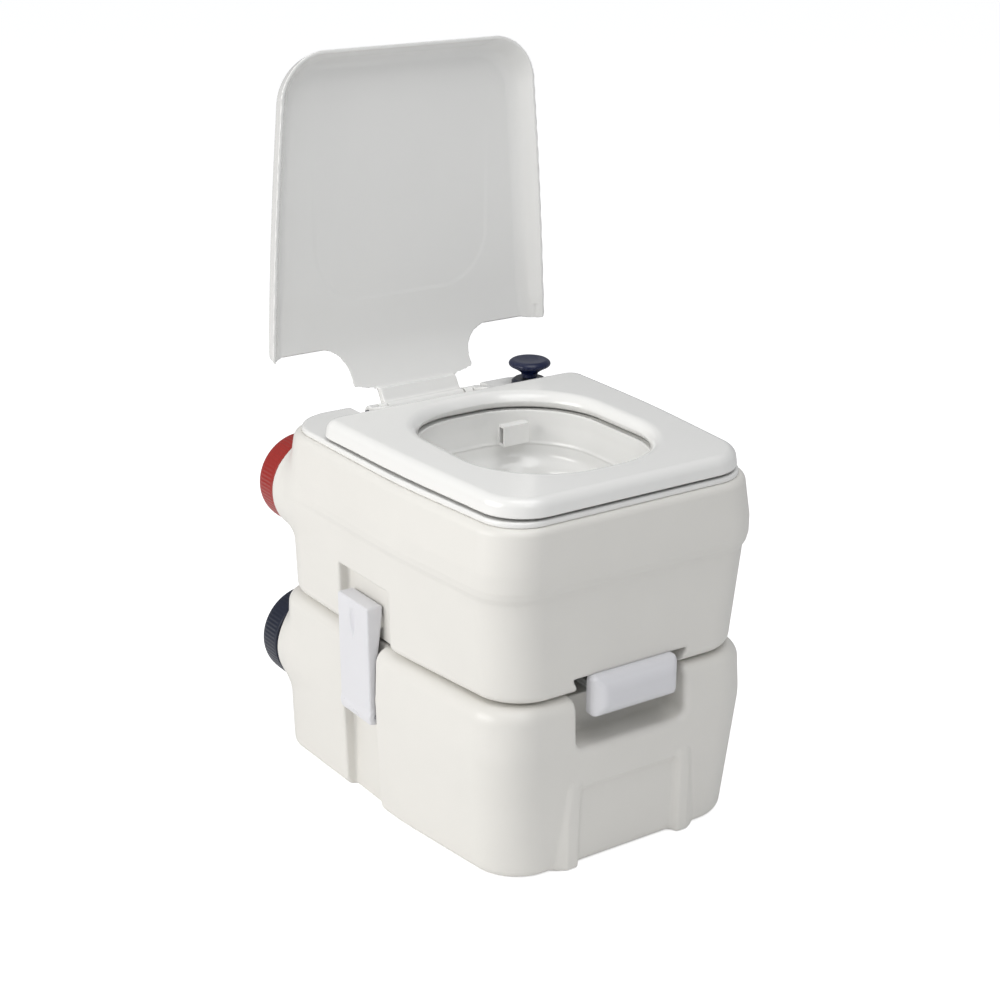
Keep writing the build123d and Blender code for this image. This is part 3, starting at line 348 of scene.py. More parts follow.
def sides(x, shape):
    """A field drawn on the left that is to stand on both sides."""
    return shape(-np.abs(x))


def waste_tank_field(s):
    """Lower tank: handle recess, front buttresses, latch channels, neck, and the valve's bed."""
    w = s["half_width"]
    f, r = FRONT_Y, DECK_REAR
    outline = outline_of([
        (0, w - 27, w - 6, w - 2, f + 9, r - 3),
        (TANK_TOP - 56, w - 13, w + 0.5, w + 1, f + 2, r),
        (TANK_TOP - 48, w - 13, w, w + 0.5, f + 2, r),
        (TANK_TOP, w - 15.5, w - 2, w - 1, f + 4, r - 1),
    ], 3.0)
    recess_low = low_high("valve_handle")[0][2] - 31
    bed_z = BODY_LOW[2]

    def field(x, y, z):
        d = tank_form(x, y, z, outline, 0.0, TANK_TOP, s, s["top_edge"], s["rear_corner"])
        ax = np.abs(x)
        # two buttresses up the front, with a sunk panel between them
        pad = clip_round(61 - ax, (ax - 88 + 0.14 * z) * 0.99, 2.0)
        pad = clip_round(pad, (f + 2.6 - y + 0.55 * np.maximum(ax - 76, 0)) * 0.9, 5.0)
        pad = clip_round(pad, z - 96, 5.0)
        pad = np.maximum(pad, y + 150)
        pad = clip_round(pad, 0.6 - z, 3.0)
        d = weld(d, pad, 5.0)
        panel = block(x, y, z, (-61, f - 20, -30), (61, f + 8.2, 88), 6.0)
        d = cut(d, panel, 3.0)
        # recess for the handle
        recess = block(x, y, z, (-s["recess"], f - 60, recess_low), (s["recess"], -162, TANK_TOP + 60), 10.0)
        d = cut(d, recess, 7.0)
        # latch channels
        channel_low, channel_high = (-260, LATCH_LOW[1] - 3, -60), (-157, LATCH_HIGH[1] + 3, 260)
        channel = sides(x, lambda q: block(q, y, z, channel_low, channel_high, 3.0))
        d = cut(d, channel, 3.0)
        # valve bed
        bed_high = (BODY_HIGH[0] + 0.5, BODY_HIGH[1] + 0.5, TANK_TOP + 40)
        bed = block(x, y, z, (BODY_LOW[0] - 0.5, -171, bed_z), bed_high, 1.5)
        d = cut(d, bed, 1.5)
        outlet = np.maximum(pipe(x, y, 0, OUTLET_Y, 38.0), bed_z - 30 - z)
        d = cut(d, outlet, 1.0)
        # pads that the upper tank stands on
        for pad_y in (-120.0, 120.0):
            stud = clip_round(pipe(ax, y, 100.0, pad_y, 12.0), z - FLUSH_BASE + 0.05, 1.5)
            d = weld(d, np.maximum(stud, TANK_TOP - 6 - z), 1.5)
        shoulder, tube, bore = neck(x, y, z, "waste_cap", "waste_cap_gasket")
        d = weld(d, shoulder, 12.0)
        d = weld(d, tube, 2.0)
        d = cut(d, bore, 1.5)
        return np.maximum(d, -z)  # nothing reaches under the floor

    return field


def flush_tank_field(s):
    """Upper tank: waist step, latch pockets, handle notch, hinge trough, bowl well and fill neck."""
    w = s["half_width"]
    f, r = FRONT_Y, DECK_REAR
    waist = s["waist"]
    outline = outline_of([
        (FLUSH_BASE, w - 26.5, w - 5, w - 3, f + 7.5, r - 3),
        (waist - 5, w - 15.5, w - 1.5, w + 0.5, f + 3.5, r - 0.5),
        (waist + 1, w - 12.5, w + 1.2, w + 1.8, f + 1.0, r),
        (waist + 5, w - 12.2, w + 1.4, w + 1.8, f + 0.8, r),
        (waist + 7, w - 11.2, w + 1.9, w + 2, f + 0.1, r),
        (waist + 25, w - 11.2, w + 1.9, w + 2, f + 0.1, r),
        (DECK_LOW[2], w - 18, w - 2, w - 1, f + 3, r - 8),
    ], 1.1)

    def field(x, y, z):
        d = tank_form(x, y, z, outline, FLUSH_BASE, DECK_LOW[2], s, 7.0, s["top_rear_corner"])
        pocket = sides(x, lambda q: block(q, y, z, (-260, -19, FLUSH_BASE - 60), (-157, 76, 256), 3.0))
        d = cut(d, pocket, 3.5)
        notch = clip_round(np.abs(x) - s["recess"] - 0.55 * (z - 200), z - 206, 3.0)
        notch = clip_round(notch, y + 162, 3.0)
        d = cut(d, notch, 3.5)
        trough_low = (-TROUGH_HALF, POST_LOW[1] - 0.5, POST_LOW[2])
        trough = block(x, y, z, trough_low, (TROUGH_HALF, 300, DECK_TOP + 40), 2.0)
        d = cut(d, trough, 2.0)
        shoulder, tube, bore = neck(x, y, z, "fill_cap", "fill_cap_gasket")
        d = weld(d, shoulder, 12.0)
        d = weld(d, tube, 2.0)
        d = cut(d, bore, 1.5)
        # catch that the latch's hook goes over
        ledge_low, ledge_high = (-162.5, LATCH_LOW[1] + 4, 205), (-150, LATCH_HIGH[1] - 4, 219.4)
        ledge = sides(x, lambda q: block(q, y, z, ledge_low, ledge_high, 1.5))
        d = weld(d, ledge, 2.0)
        well = bowl_space(x, y, z, 3.5)
        d = cut(d, well, 1.5)
        centre = (COLLAR_LOW + COLLAR_HIGH) / 2
        barrel = pipe(x, y, centre[0], centre[1], BARREL_HOLE_R)
        return cut(d, np.maximum(barrel, DECK_LOW[2] - 40 - z), 1.0)

    return field


BOWL_HALF = profile([(190, 35), (219, 35), (233, 52), (322, 88), (331, 97), (366, 103), (400, 104)], 3.0)
BOWL_FRONT = profile(
    [(190, -55), (219, -55), (233, -72), (322, -129), (331, -140), (366, -149), (400, -150)], 3.0)
BOWL_BACK = profile([(190, 15), (219, 15), (233, 32), (322, 76), (331, 85), (366, 91), (400, 92)], 3.0)


def bowl_space(x, y, z, grow):
    """The bowl's space, grown outwards: an oval funnel down to a round outlet."""
    half = BOWL_HALF(z) + grow
    low_y = BOWL_FRONT(z) - grow
    high_y = BOWL_BACK(z) + grow
    radius = np.minimum(half, (high_y - low_y) / 2) * np.interp(z, [232, 305], [0.98, 0.86])
    return rounded_rectangle(x, y, half, low_y, high_y, radius) * 0.94


class CAMPTOILET_OT_tanks(bpy.types.Operator):
    """Build the waste tank and the flush tank"""

    bl_idname = "camptoilet.tanks"
    bl_label = "Tanks"

    def execute(self, context):
        s = sizes("camptoilet_tank_sizes")
        plastic = blown_plastic()
        low, high = (-176, FRONT_Y, 0), (176, 234, FLUSH_BASE)
        tank = surface("waste_tank_shell", waste_tank_field(s), low, high, 2.6)
        place(tank, "waste_unit", ["waste_tank"], plastic)
        low, high = (-178, FRONT_Y, FLUSH_BASE), (176, 234, DECK_LOW[2])
        tank = surface("flush_tank_shell", flush_tank_field(s), low, high, 2.6)
        place(tank, "flush_unit", ["flush_tank"], plastic)
        return {"FINISHED"}


# ---------------------------------------------------------------- deck, bowl, seat and lid
def deck_field():
    """Top plate with rounded edges, cut through for the bowl, the hinge trough and the pump's barrel."""
    half = (DECK_HIGH[0] - DECK_LOW[0]) / 2

    def field(x, y, z):
        ends = (DECK_LOW[1], DECK_HIGH[1] - DECK_STEP)
        plan = flared_plan(x, y, (half - 17, half - 1, half), ends, 40.0, 50.0)
        d = clip_round(plan, z - DECK_TOP, 2.5)
        d = clip_round(d, DECK_LOW[2] - z, 1.5)
        rim = rounded_rectangle(x, y, 107.5, -153.5, 95.5, 92.0)
        d = cut(d, rim, 0.8)
        trough_low = (-TROUGH_HALF, POST_LOW[1] - 0.5, 300)
        trough = block(x, y, z, trough_low, (TROUGH_HALF, 300, DECK_TOP + 40), 4.0)
        d = cut(d, trough, 1.5)
        centre = (COLLAR_LOW + COLLAR_HIGH) / 2
        return cut(d, pipe(x, y, centre[0], centre[1], BARREL_HOLE_R), 0.8)

    return field


def bowl_field(s):
    """Bowl shell with a flange on the deck and a shallow shelf line round its wall."""
    wall = s["bowl_wall"]

    def field(x, y, z):
        outer = bowl_space(x, y, z, wall)
        outer = clip_round(outer, z - BOWL_HIGH[2], 0.8)
        flange = clip_round(rounded_rectangle(x, y, 113.0, -159.0, 101.0, 98.0), z - BOWL_HIGH[2], 0.8)
        flange = clip_round(flange, DECK_TOP - z, 0.6)
        d = weld(outer, flange, 1.0)
        d = clip_round(d, FLUSH_BASE - z, 0.8)
        inner = bowl_space(x, y, z, 0.0)
        bead = 0.8 * np.exp(-(((z - 345.0) / 1.3) ** 2))
        return cut(d, inner + bead, 0.8)

    return field


def seat_field(s):
    """Seat ring: wide and flat, rounded outside, rolled over into the bowl, hollow underneath."""
    low_z, high_z = DECK_TOP + 3.0, SEAT_HIGH[2]
    front_y = SEAT_LOW[1]
    rear_y = 122.0
    knob_reach = math.hypot(HINGE_Y - KNOB_LOW[1], KNOB_HIGH[2] - 6.0 - HINGE_Z) + 4.0

    def field(x, y, z):
        lean = 0.10 * (z - low_z)
        halves = (146.0 - lean, 160.0 - lean, 163.0 - lean)
        plan = flared_plan(x, y, halves, (front_y + lean, rear_y - lean), 44.0, 18.0)
        crown = 1.2 * np.exp(-(((y - 20) / 150.0) ** 2))
        d = clip_round(plan, z - high_z + 1.2 - crown, s["seat_edge"])
        d = clip_round(d, low_z - z, 1.5)
        hole = rounded_rectangle(x, y, 101.0, -147.0, 89.0, 86.0)
        under = clip_round(plan + 3.5, z - high_z + 5.0, 4.0)
        under = cut(under, hole - 16.0, 5.0)
        d = cut(d, under, 0.8)
        d = clip_round(d, -hole, s["seat_lip"])
        swing = np.maximum(pipe(y, z, HINGE_Y, HINGE_Z, knob_reach), KNOB_LOW[0] - 4.0 - x)
        return cut(d, swing, 1.0)

    return field


def seat_arm_field():
    """Arms from the seat's back edge to the hinge, with an eye round each pin."""
    inner, outer = 61.2, 71.8

    def field(x, y, z):
        ax = np.abs(x)
        fall = profile([(112, 391.5), (128, 391), (152, 387), (172, 381), (182, 377)], 4.0)
        sole = profile([(112, 383), (138, 382.5), (158, 381), (168, 377), (182, 372)], 3.0)
        arm = np.maximum(z - fall(y), sole(y) - z)
        arm = clip_round(arm, between(y, 113, 178), 1.5)
        eye = pipe(y, z, HINGE_Y, HINGE_Z, 7.5)
        d = weld(arm, eye, 3.0)
        d = clip_round(d, between(ax, inner, outer), 1.4)
        return cut(d, pipe(y, z, HINGE_Y, HINGE_Z, PIN_HOLE_R), 0.4)

    return field


def lid_field(s):
    """Lid, drawn closed and turned open: a shallow tray whose roof runs on into a tongue."""
    wall = s["lid_wall"]
    rim = 394.0
    roof = rim + 26.0
    front = HINGE_Y - (LID_HIGH[2] - HINGE_Z)
    back = 113.0
    fall = [(-260, roof), (84, roof), (116, roof - 4.5), (138, roof - 14), (156, 395), (176, 382)]
    top = profile(fall, 8.0)

    def field(x, y, z):
        u = HINGE_Y - (z - HINGE_Z)
        w = HINGE_Z + (y - HINGE_Y)
        ax = np.abs(x)
        lean = s["lid_slope"] * np.clip((w - rim) / (roof - rim), 0.0, 1.3)
        halves = (151.5 - lean, 167.0 - lean, 174.5 - lean)
        ends = (front + lean, back)
        tray = flared_plan(x, u, halves, ends, s["lid_corner"], 8.0)
        tongue_half = np.interp(u, [152, 158], [s["tongue"], KNUCKLE_HALF])
        tongue = np.maximum(np.maximum(ax - tongue_half, u - 170.0), 60.0 - u)
        plan = weld(tray, tongue, 30.0)
        skin = w - top(u)
        body = clip_round(plan, skin, 7.0)
        spread = wall + 8.0 * np.clip((w - rim) / (roof - rim), 0.0, 1.0)
        inner = flared_side(x, u, halves, ends) + spread
        inner = clip_round(inner, front + lean + spread - u, s["lid_corner"] - wall)
        panel = rounded_rectangle(x, u, 108.0, -260.0, 62.0, 60.0)
        sunk = 0.6 * np.clip(0.5 - panel / 4.0, 0, 1) * np.clip((u + 130) / 120.0, 0, 1)
        cavity = clip_round(inner, skin + wall - sunk, 9.0)
        d = clip_round(body, -cavity, 1.3)
        notch = np.maximum(np.maximum(ax - 167.0, 96.0 - u), np.maximum(u - 127.0, w - SEAT_HIGH[2] - 3.0))
        d = cut(d, notch, 1.0)
        low = np.interp(u, [120, 140], [rim, 330.0]) - w
        d = clip_round(d, low, 0.7)
        eye = pipe(u, w, HINGE_Y, HINGE_Z, 7.4)
        root = np.maximum(np.abs(u - 166) - 10, np.abs(w - top(u) + 4) - 5)
        knuckle = clip_round(weld(eye, root, 4.0), ax - KNUCKLE_HALF, 1.2)
        d = weld(d, knuckle, 3.0)
        return cut(d, pipe(u, w, HINGE_Y, HINGE_Z, PIN_HOLE_R), 0.4)

    return field


class CAMPTOILET_OT_top(bpy.types.Operator):
    """Build the deck, the bowl, the seat and the lid"""

    bl_idname = "camptoilet.top"
    bl_label = "Deck, bowl, seat and lid"

    def execute(self, context):
        s = sizes("camptoilet_top_sizes")
        plastic = gloss_plastic()
        piece = surface("deck_plate", deck_field(), DECK_LOW, DECK_HIGH, 2.0)
        place(piece, "flush_unit", ["deck"], plastic)
        piece = surface("bowl_shell", bowl_field(s), BOWL_LOW, BOWL_HIGH, 1.6)
        place(piece, "flush_unit", ["bowl"], plastic)
        low, high = (SEAT_LOW[0], SEAT_LOW[1], DECK_TOP + 3), (SEAT_HIGH[0], 124, SEAT_HIGH[2])
        piece = surface("seat_ring", seat_field(s), low, high, 2.0)
        place(piece, "seat_unit", ["seat"], plastic)
        piece = surface("seat_arms", seat_arm_field(), (-73, 111, SEAT_LOW[2]), (73, 185, 394), 1.2)
        place(piece, "seat_unit", ["seat"], plastic)
        piece = surface("lid_shell", lid_field(s), LID_LOW, LID_HIGH, 1.45)
        place(piece, "lid_unit", ["lid"], plastic)
        return {"FINISHED"}


# ---------------------------------------------------------------- handle, latches and caps
def handle_field(s):
    """Pull bar with a sloping border round its face, hollow from behind."""
    low, high = HANDLE_LOW, HANDLE_HIGH
    edge = s["handle_edge"]
    middle_z = (low[2] + high[2]) / 2

    def field(x, y, z):
        bar = block(x, y, z, low, (high[0], high[1] + 40, high[2]), edge)
        slope_x = (np.abs(x) - high[0] + 9 - 0.9 * (y - low[1])) / 1.35
        slope_z = (np.abs(z - middle_z) - (high[2] - low[2]) / 2 + 11 - 1.1 * (y - low[1])) / 1.49
        bar = clip_round(bar, slope_x, 3.5)
        bar = clip_round(bar, slope_z, 3.5)
        socket_low = (-33.5, low[1] + 1, BLADE_LOW[2] - 3.5)
        socket_high = (33.5, high[1] + 60, BLADE_HIGH[2] + 3.5)
        socket = block(x, y, z, socket_low, socket_high, 1.5)
        inside = cut(bar + 3.6, socket, 1.0)
        d = clip_round(bar, y - high[1], 0.8)
        d = cut(d, inside, 0.8)
        slot_low = (-30.1, BLADE_LOW[1] - 0.1, BLADE_LOW[2] - 0.1)
        slot_high = (30.1, high[1] + 40, BLADE_HIGH[2] + 0.1)
        slot = block(x, y, z, slot_low, slot_high, 0.3)
        return cut(d, slot, 0.4)

    return field


def latch_field(s):
    """Latch: a wedge that widens towards its top, with a hook, side cheeks, a barrel and a thumb dent."""
    low, high = LATCH_LOW, LATCH_HIGH
    pivot_x = (LATCH_PIN_LOW[0] + LATCH_PIN_HIGH[0]) / 2
    pivot_z = (LATCH_PIN_LOW[2] + LATCH_PIN_HIGH[2]) / 2
    foot = [(low[2], 10.5), (pivot_z + 12, 10.5), (pivot_z + 52, 11.5)]
    depth = profile(foot + [(high[2] - 12, 19.0), (high[2], 19.4)], 4.0)
    face = profile([(low[2], 2.2), (high[2], 0.0)], 4.0)

    def field(x, y, z):
        q = x - low[0]
        plate = np.maximum(face(z) - q, q - depth(z))
        plate = clip_round(plate, between(z, pivot_z - 8.3, high[2]), s["latch_edge"])
        d = clip_round(plate, between(y, low[1], high[1]), s["latch_edge"])
        mid_y = (low[1] + high[1]) / 2
        taper = np.interp(z, [high[2] - 50, high[2] - 14], [1.2, 8.5])
        across, along, deep = (y - mid_y) / taper, (z - high[2] + 26) / 20.0, (x - low[0] + 3.0) / 7.4
        dent = (np.sqrt(across**2 + along**2 + deep**2) - 1.0) * 5.0
        hollow_low = (low[0] + 3.2, low[1] + 2.8, pivot_z + 11.5)
        hollow = block(x, y, z, hollow_low, (low[0] + 60, high[1] - 2.8, high[2] - 9.0), 2.0)
        d = cut(d, cut(hollow, dent - 3.0, 1.0), 0.8)
        barrel = clip_round(pipe(x, z, pivot_x, pivot_z, 8.4), between(y, low[1], high[1]), 1.0)
        d = weld(d, barrel, 2.0)
        d = cut(d, dent, 0.8)
        d = np.maximum(d, low[0] + 0.2 - x)
        return cut(d, pipe(x, z, pivot_x, pivot_z, 2.55), 0.4)

    return field


def cap_field(node, s):
    """Screw cap: a cup with fine ribs round its skirt and a sunk grip across its end."""
    low, high = low_high(node)
    cx, cz = (low[0] + high[0]) / 2, (low[2] + high[2]) / 2
    radius = (high[2] - low[2]) / 2
    end = high[1]

    def field(x, y, z):
        away = np.hypot(x - cx, z - cz)
        turn = np.arctan2(z - cz, x - cx)
        fade = np.clip(np.minimum(y - low[1] - 3, end - 5 - y) / 1.5, 0, 1)
        ripple = s["cap_rib"] * (0.5 + 0.5 * np.cos(CAP_RIBS * turn)) * fade
        d = clip_round(away - radius + s["cap_rib"] - ripple, y - end, s["cap_edge"])
        d = clip_round(d, low[1] - y, 1.0)
        inside = clip_round(away - radius + 4.2, y - end + 4.0, 1.5)
        d = cut(d, inside, 0.8)
        dish = clip_round(away - radius + 12, end - 2.2 - y, 1.5)
        d = cut(d, dish, 1.5)
        grip = block(x, y, z, (cx - radius + 16, end - 6, cz - 5), (cx + radius - 16, end - 0.3, cz + 5), 2.2)
        return weld(d, grip, 1.5)

    return field


def knob_field():
    """Pump knob: a flat round head over a short flared neck."""
    centre = (KNOB_LOW + KNOB_HIGH) / 2
    outline = profile([
        (KNOB_LOW[2] - 1, 9.5), (KNOB_LOW[2] + 2, 9.0), (KNOB_LOW[2] + 6, 9.5), (KNOB_LOW[2] + 11, 17.0),
        (KNOB_HIGH[2] - 7.5, 22.3), (KNOB_HIGH[2] - 5.5, 23.6),
        (KNOB_HIGH[2] - 3.0, 23.2), (KNOB_HIGH[2], 19.5),
    ], 0.7)

    def field(x, y, z):
        away = np.hypot(x - centre[0], y - centre[1])
        d = (away - outline(z)) * 0.72
        d = clip_round(d, between(z, KNOB_LOW[2], KNOB_HIGH[2]), 1.6)
        turn = np.arctan2(y - centre[1], x - centre[0])
        near_rim = np.exp(-(((z - KNOB_HIGH[2] + 5.5) / 2.5) ** 2))
        d = d + 0.22 * near_rim * (1 - np.cos(30 * turn)) / 2
        dish = np.sqrt((away / 16.0) ** 2 + ((z - KNOB_HIGH[2] - 1.5) / 3.0) ** 2)
        d = cut(d, (dish - 1.0) * 2.5, 1.2)
        return cut(d, np.maximum(away - 4.0, z - KNOB_HIGH[2] + 4.0), 0.3)

    return field


def mirrored(field):
    """The same field on the other side."""
    return lambda x, y, z: field(-x, y, z)


class CAMPTOILET_OT_hardware(bpy.types.Operator):
    """Build the pull handle, the latches, the caps and the knob"""

    bl_idname = "camptoilet.hardware"
    bl_label = "Handle, latches, caps and knob"

    def execute(self, context):
        s = sizes("camptoilet_hardware_sizes")
        colours = context.scene.camptoilet_colours
        cool = satin_plastic("latch_plastic_finish", colours.latch)
        piece = surface("pull_handle", handle_field(s), HANDLE_LOW, HANDLE_HIGH, 1.0)
        place(piece, "valve_slide_unit", ["valve_handle"], cool)
        left = latch_field(s)
        piece = surface("side_latch_left", left, LATCH_LOW, LATCH_HIGH, 1.1)
        place(piece, "left_latch", ["latch_left"], cool)
        right_low, right_high = low_high("latch_right")
        piece = surface("side_latch_right", mirrored(left), right_low, right_high, 1.1)
        place(piece, "right_latch", ["latch_right"], cool)
        red = satin_plastic("fill_cap_plastic", colours.fill_cap)
        navy = satin_plastic("waste_cap_plastic", colours.waste_cap)
        piece = surface("fill_cap_shell", cap_field("fill_cap", s), *low_high("fill_cap"), 1.2)
        place(piece, "fill_cap_top", ["fill_cap"], red)
        piece = surface("waste_cap_shell", cap_field("waste_cap", s), *low_high("waste_cap"), 1.2)
        place(piece, "waste_cap_top", ["waste_cap"], navy)
        piece = surface("pump_knob_head", knob_field(), KNOB_LOW, KNOB_HIGH, 0.8)
        blue = satin_plastic("pump_knob_plastic", colours.knob)
        place(piece, "pump_plunger", ["pump_knob"], blue)
        return {"FINISHED"}


# ---------------------------------------------------------------- materials
def group_socket(group, name, kind, output=False, value=None):
    """A named socket of a node group."""
    socket = group.interface.new_socket(name=name, in_out="OUTPUT" if output else "INPUT", socket_type=kind)
    if value is not None:
        socket.default_value = value
    return socket


def moulding_group():
    """Shared effect: the faint waviness, fine grain and uneven gloss of moulded plastic."""
    name = "Moulded surface"
    if name in bpy.data.node_groups:
        return bpy.data.node_groups[name]
    group = bpy.data.node_groups.new(name, "ShaderNodeTree")
    group_socket(group, "Grain size", "NodeSocketFloat", value=350.0)
    group_socket(group, "Wave size", "NodeSocketFloat", value=14.0)
    group_socket(group, "Height", "NodeSocketFloat", output=True)
    group_socket(group, "Cloud", "NodeSocketFloat", output=True)
    group_socket(group, "Smear", "NodeSocketFloat", output=True)
    nodes, links = group.nodes, group.links
    given = nodes.new("NodeGroupInput")
    result = nodes.new("NodeGroupOutput")
    place_node = nodes.new("ShaderNodeTexCoord")
    grain = nodes.new("ShaderNodeTexNoise")
    grain.inputs["Detail"].default_value = 3.0
    grain.inputs["Roughness"].default_value = 0.6
    wave = nodes.new("ShaderNodeTexNoise")
    wave.inputs["Detail"].default_value = 2.0
    smear = nodes.new("ShaderNodeTexNoise")
    smear.inputs["Scale"].default_value = 6.0
    smear.inputs["Detail"].default_value = 8.0
    smear.inputs["Distortion"].default_value = 1.2
    blend = nodes.new("ShaderNodeMath")
    blend.operation = "MULTIPLY_ADD"
    blend.inputs[1].default_value = 0.25
    for texture in (grain, wave, smear):
        links.new(place_node.outputs["Object"], texture.inputs["Vector"])
    links.new(given.outputs["Grain size"], grain.inputs["Scale"])
    links.new(given.outputs["Wave size"], wave.inputs["Scale"])
    links.new(grain.outputs["Fac"], blend.inputs[0])
    links.new(wave.outputs["Fac"], blend.inputs[2])
    links.new(blend.outputs[0], result.inputs["Height"])
    links.new(wave.outputs["Fac"], result.inputs["Cloud"])
    links.new(smear.outputs["Fac"], result.inputs["Smear"])
    return group


def wear_and_shade_group():
    """Shared effect: masks for rubbed outer edges and for dust with painted shade in hollows and corners."""
    name = "Rubbed edges and dust"
    if name in bpy.data.node_groups:
        return bpy.data.node_groups[name]
    group = bpy.data.node_groups.new(name, "ShaderNodeTree")
    group_socket(group, "Break-up size", "NodeSocketFloat", value=60.0)
    group_socket(group, "Edges", "NodeSocketFloat", output=True)
    group_socket(group, "Dust and painted shade", "NodeSocketFloat", output=True)
    nodes, links = group.nodes, group.links
    given = nodes.new("NodeGroupInput")
    result = nodes.new("NodeGroupOutput")
    geometry = nodes.new("ShaderNodeNewGeometry")
    place_node = nodes.new("ShaderNodeTexCoord")
    breakup = nodes.new("ShaderNodeTexNoise")
    breakup.inputs["Detail"].default_value = 5.0
    links.new(place_node.outputs["Object"], breakup.inputs["Vector"])
    links.new(given.outputs["Break-up size"], breakup.inputs["Scale"])
    # The hollows mask picks concave places by low pointiness and paints shade there as well as dust.
    for label, low, high in (("Edges", 0.52, 0.62), ("Dust and painted shade", 0.48, 0.38)):
        span = nodes.new("ShaderNodeMapRange")
        span.inputs["From Min"].default_value = low
        span.inputs["From Max"].default_value = high
        mix = nodes.new("ShaderNodeMath")
        mix.operation = "MULTIPLY"
        mix.use_clamp = True
        links.new(geometry.outputs["Pointiness"], span.inputs["Value"])
        links.new(span.outputs["Result"], mix.inputs[0])
        links.new(breakup.outputs["Fac"], mix.inputs[1])
        links.new(mix.outputs[0], result.inputs[label])
    return group


def mix_colour(nodes, links, mask, amount, base, other):
    """Mix towards another colour where the mask is high, by at most the given amount."""
    scale = nodes.new("ShaderNodeMath")
    scale.operation = "MULTIPLY"
    scale.use_clamp = True
    scale.inputs[1].default_value = amount
    links.new(mask, scale.inputs[0])
    mix = nodes.new("ShaderNodeMix")
    mix.data_type = "RGBA"
    links.new(scale.outputs[0], mix.inputs["Factor"])
    if isinstance(base, bpy.types.NodeSocket):
        links.new(base, mix.inputs["A"])
    else:
        mix.inputs["A"].default_value = (*base, 1.0)
    mix.inputs["B"].default_value = (*other, 1.0)
    return mix.outputs["Result"]


def moulded(name, base, rough, grain, wave, bump, coat=0.0, dust_and_shade=0.25, metal=0.0):
    """Moulded finish: uneven gloss, fine grain, paler rubbed edges, and faint dust with painted shade in the
    hollows.
    """
    if name in bpy.data.materials:
        return bpy.data.materials[name]
    base = tuple(base)
    material = bpy.data.materials.new(name)
    material.use_nodes = True
    material.diffuse_color = (*base, 1.0)
    nodes, links = material.node_tree.nodes, material.node_tree.links
    shader = nodes["Principled BSDF"]
    surface_group = nodes.new("ShaderNodeGroup")
    surface_group.node_tree = moulding_group()
    surface_group.inputs["Grain size"].default_value = grain
    surface_group.inputs["Wave size"].default_value = wave
    wear_and_shade = nodes.new("ShaderNodeGroup")
    wear_and_shade.node_tree = wear_and_shade_group()
    darker = tuple(c * 0.93 for c in base)
    rubbed = tuple(min(1.0, c * 1.08 + 0.012) for c in base)
    colour_out = mix_colour(nodes, links, surface_group.outputs["Cloud"], 0.55, base, darker)
    colour_out = mix_colour(nodes, links, wear_and_shade.outputs["Edges"], 0.8, colour_out, rubbed)
    # Painted shade: hollows are darkened towards a brownish tone, standing in for dust and for the shade that
    # falls there.
    dust_and_shade_tone = tuple(c * 0.8 + t * 0.2 for c, t in zip(base, (0.33, 0.30, 0.25)))
    colour_out = mix_colour(nodes, links, wear_and_shade.outputs["Dust and painted shade"], dust_and_shade, colour_out, dust_and_shade_tone)
    links.new(colour_out, shader.inputs["Base Color"])
    gloss = nodes.new("ShaderNodeMapRange")
    gloss.inputs["From Min"].default_value = 0.3
    gloss.inputs["From Max"].default_value = 0.7
    gloss.inputs["To Min"].default_value = rough[0]
    gloss.inputs["To Max"].default_value = rough[1]
    links.new(surface_group.outputs["Smear"], gloss.inputs["Value"])
    links.new(gloss.outputs["Result"], shader.inputs["Roughness"])
    relief = nodes.new("ShaderNodeBump")
    relief.inputs["Strength"].default_value = 1.0
    relief.inputs["Distance"].default_value = bump / 1000
    links.new(surface_group.outputs["Height"], relief.inputs["Height"])
    links.new(relief.outputs["Normal"], shader.inputs["Normal"])
    shader.inputs["Coat Weight"].default_value = coat
    shader.inputs["Coat Roughness"].default_value = 0.08
    shader.inputs["Metallic"].default_value = metal
    return material


def blown_plastic():
    """Warm white blow-moulded polyethylene: satin, slightly wavy."""
    base = bpy.context.scene.camptoilet_colours.tank
    return moulded("blown_tank_plastic", base, (0.30, 0.42), 420.0, 16.0, 0.35)


def gloss_plastic():
    """White injection-moulded plastic with a high gloss."""
    base = bpy.context.scene.camptoilet_colours.gloss
    return moulded("gloss_white_plastic", base, (0.13, 0.22), 300.0, 9.0, 0.10, coat=0.35)


def satin_plastic(name, base):
    """Coloured injection-moulded plastic with a fine grain."""
    return moulded(name, base, (0.26, 0.38), 900.0, 25.0, 0.12, dust_and_shade=0.12)


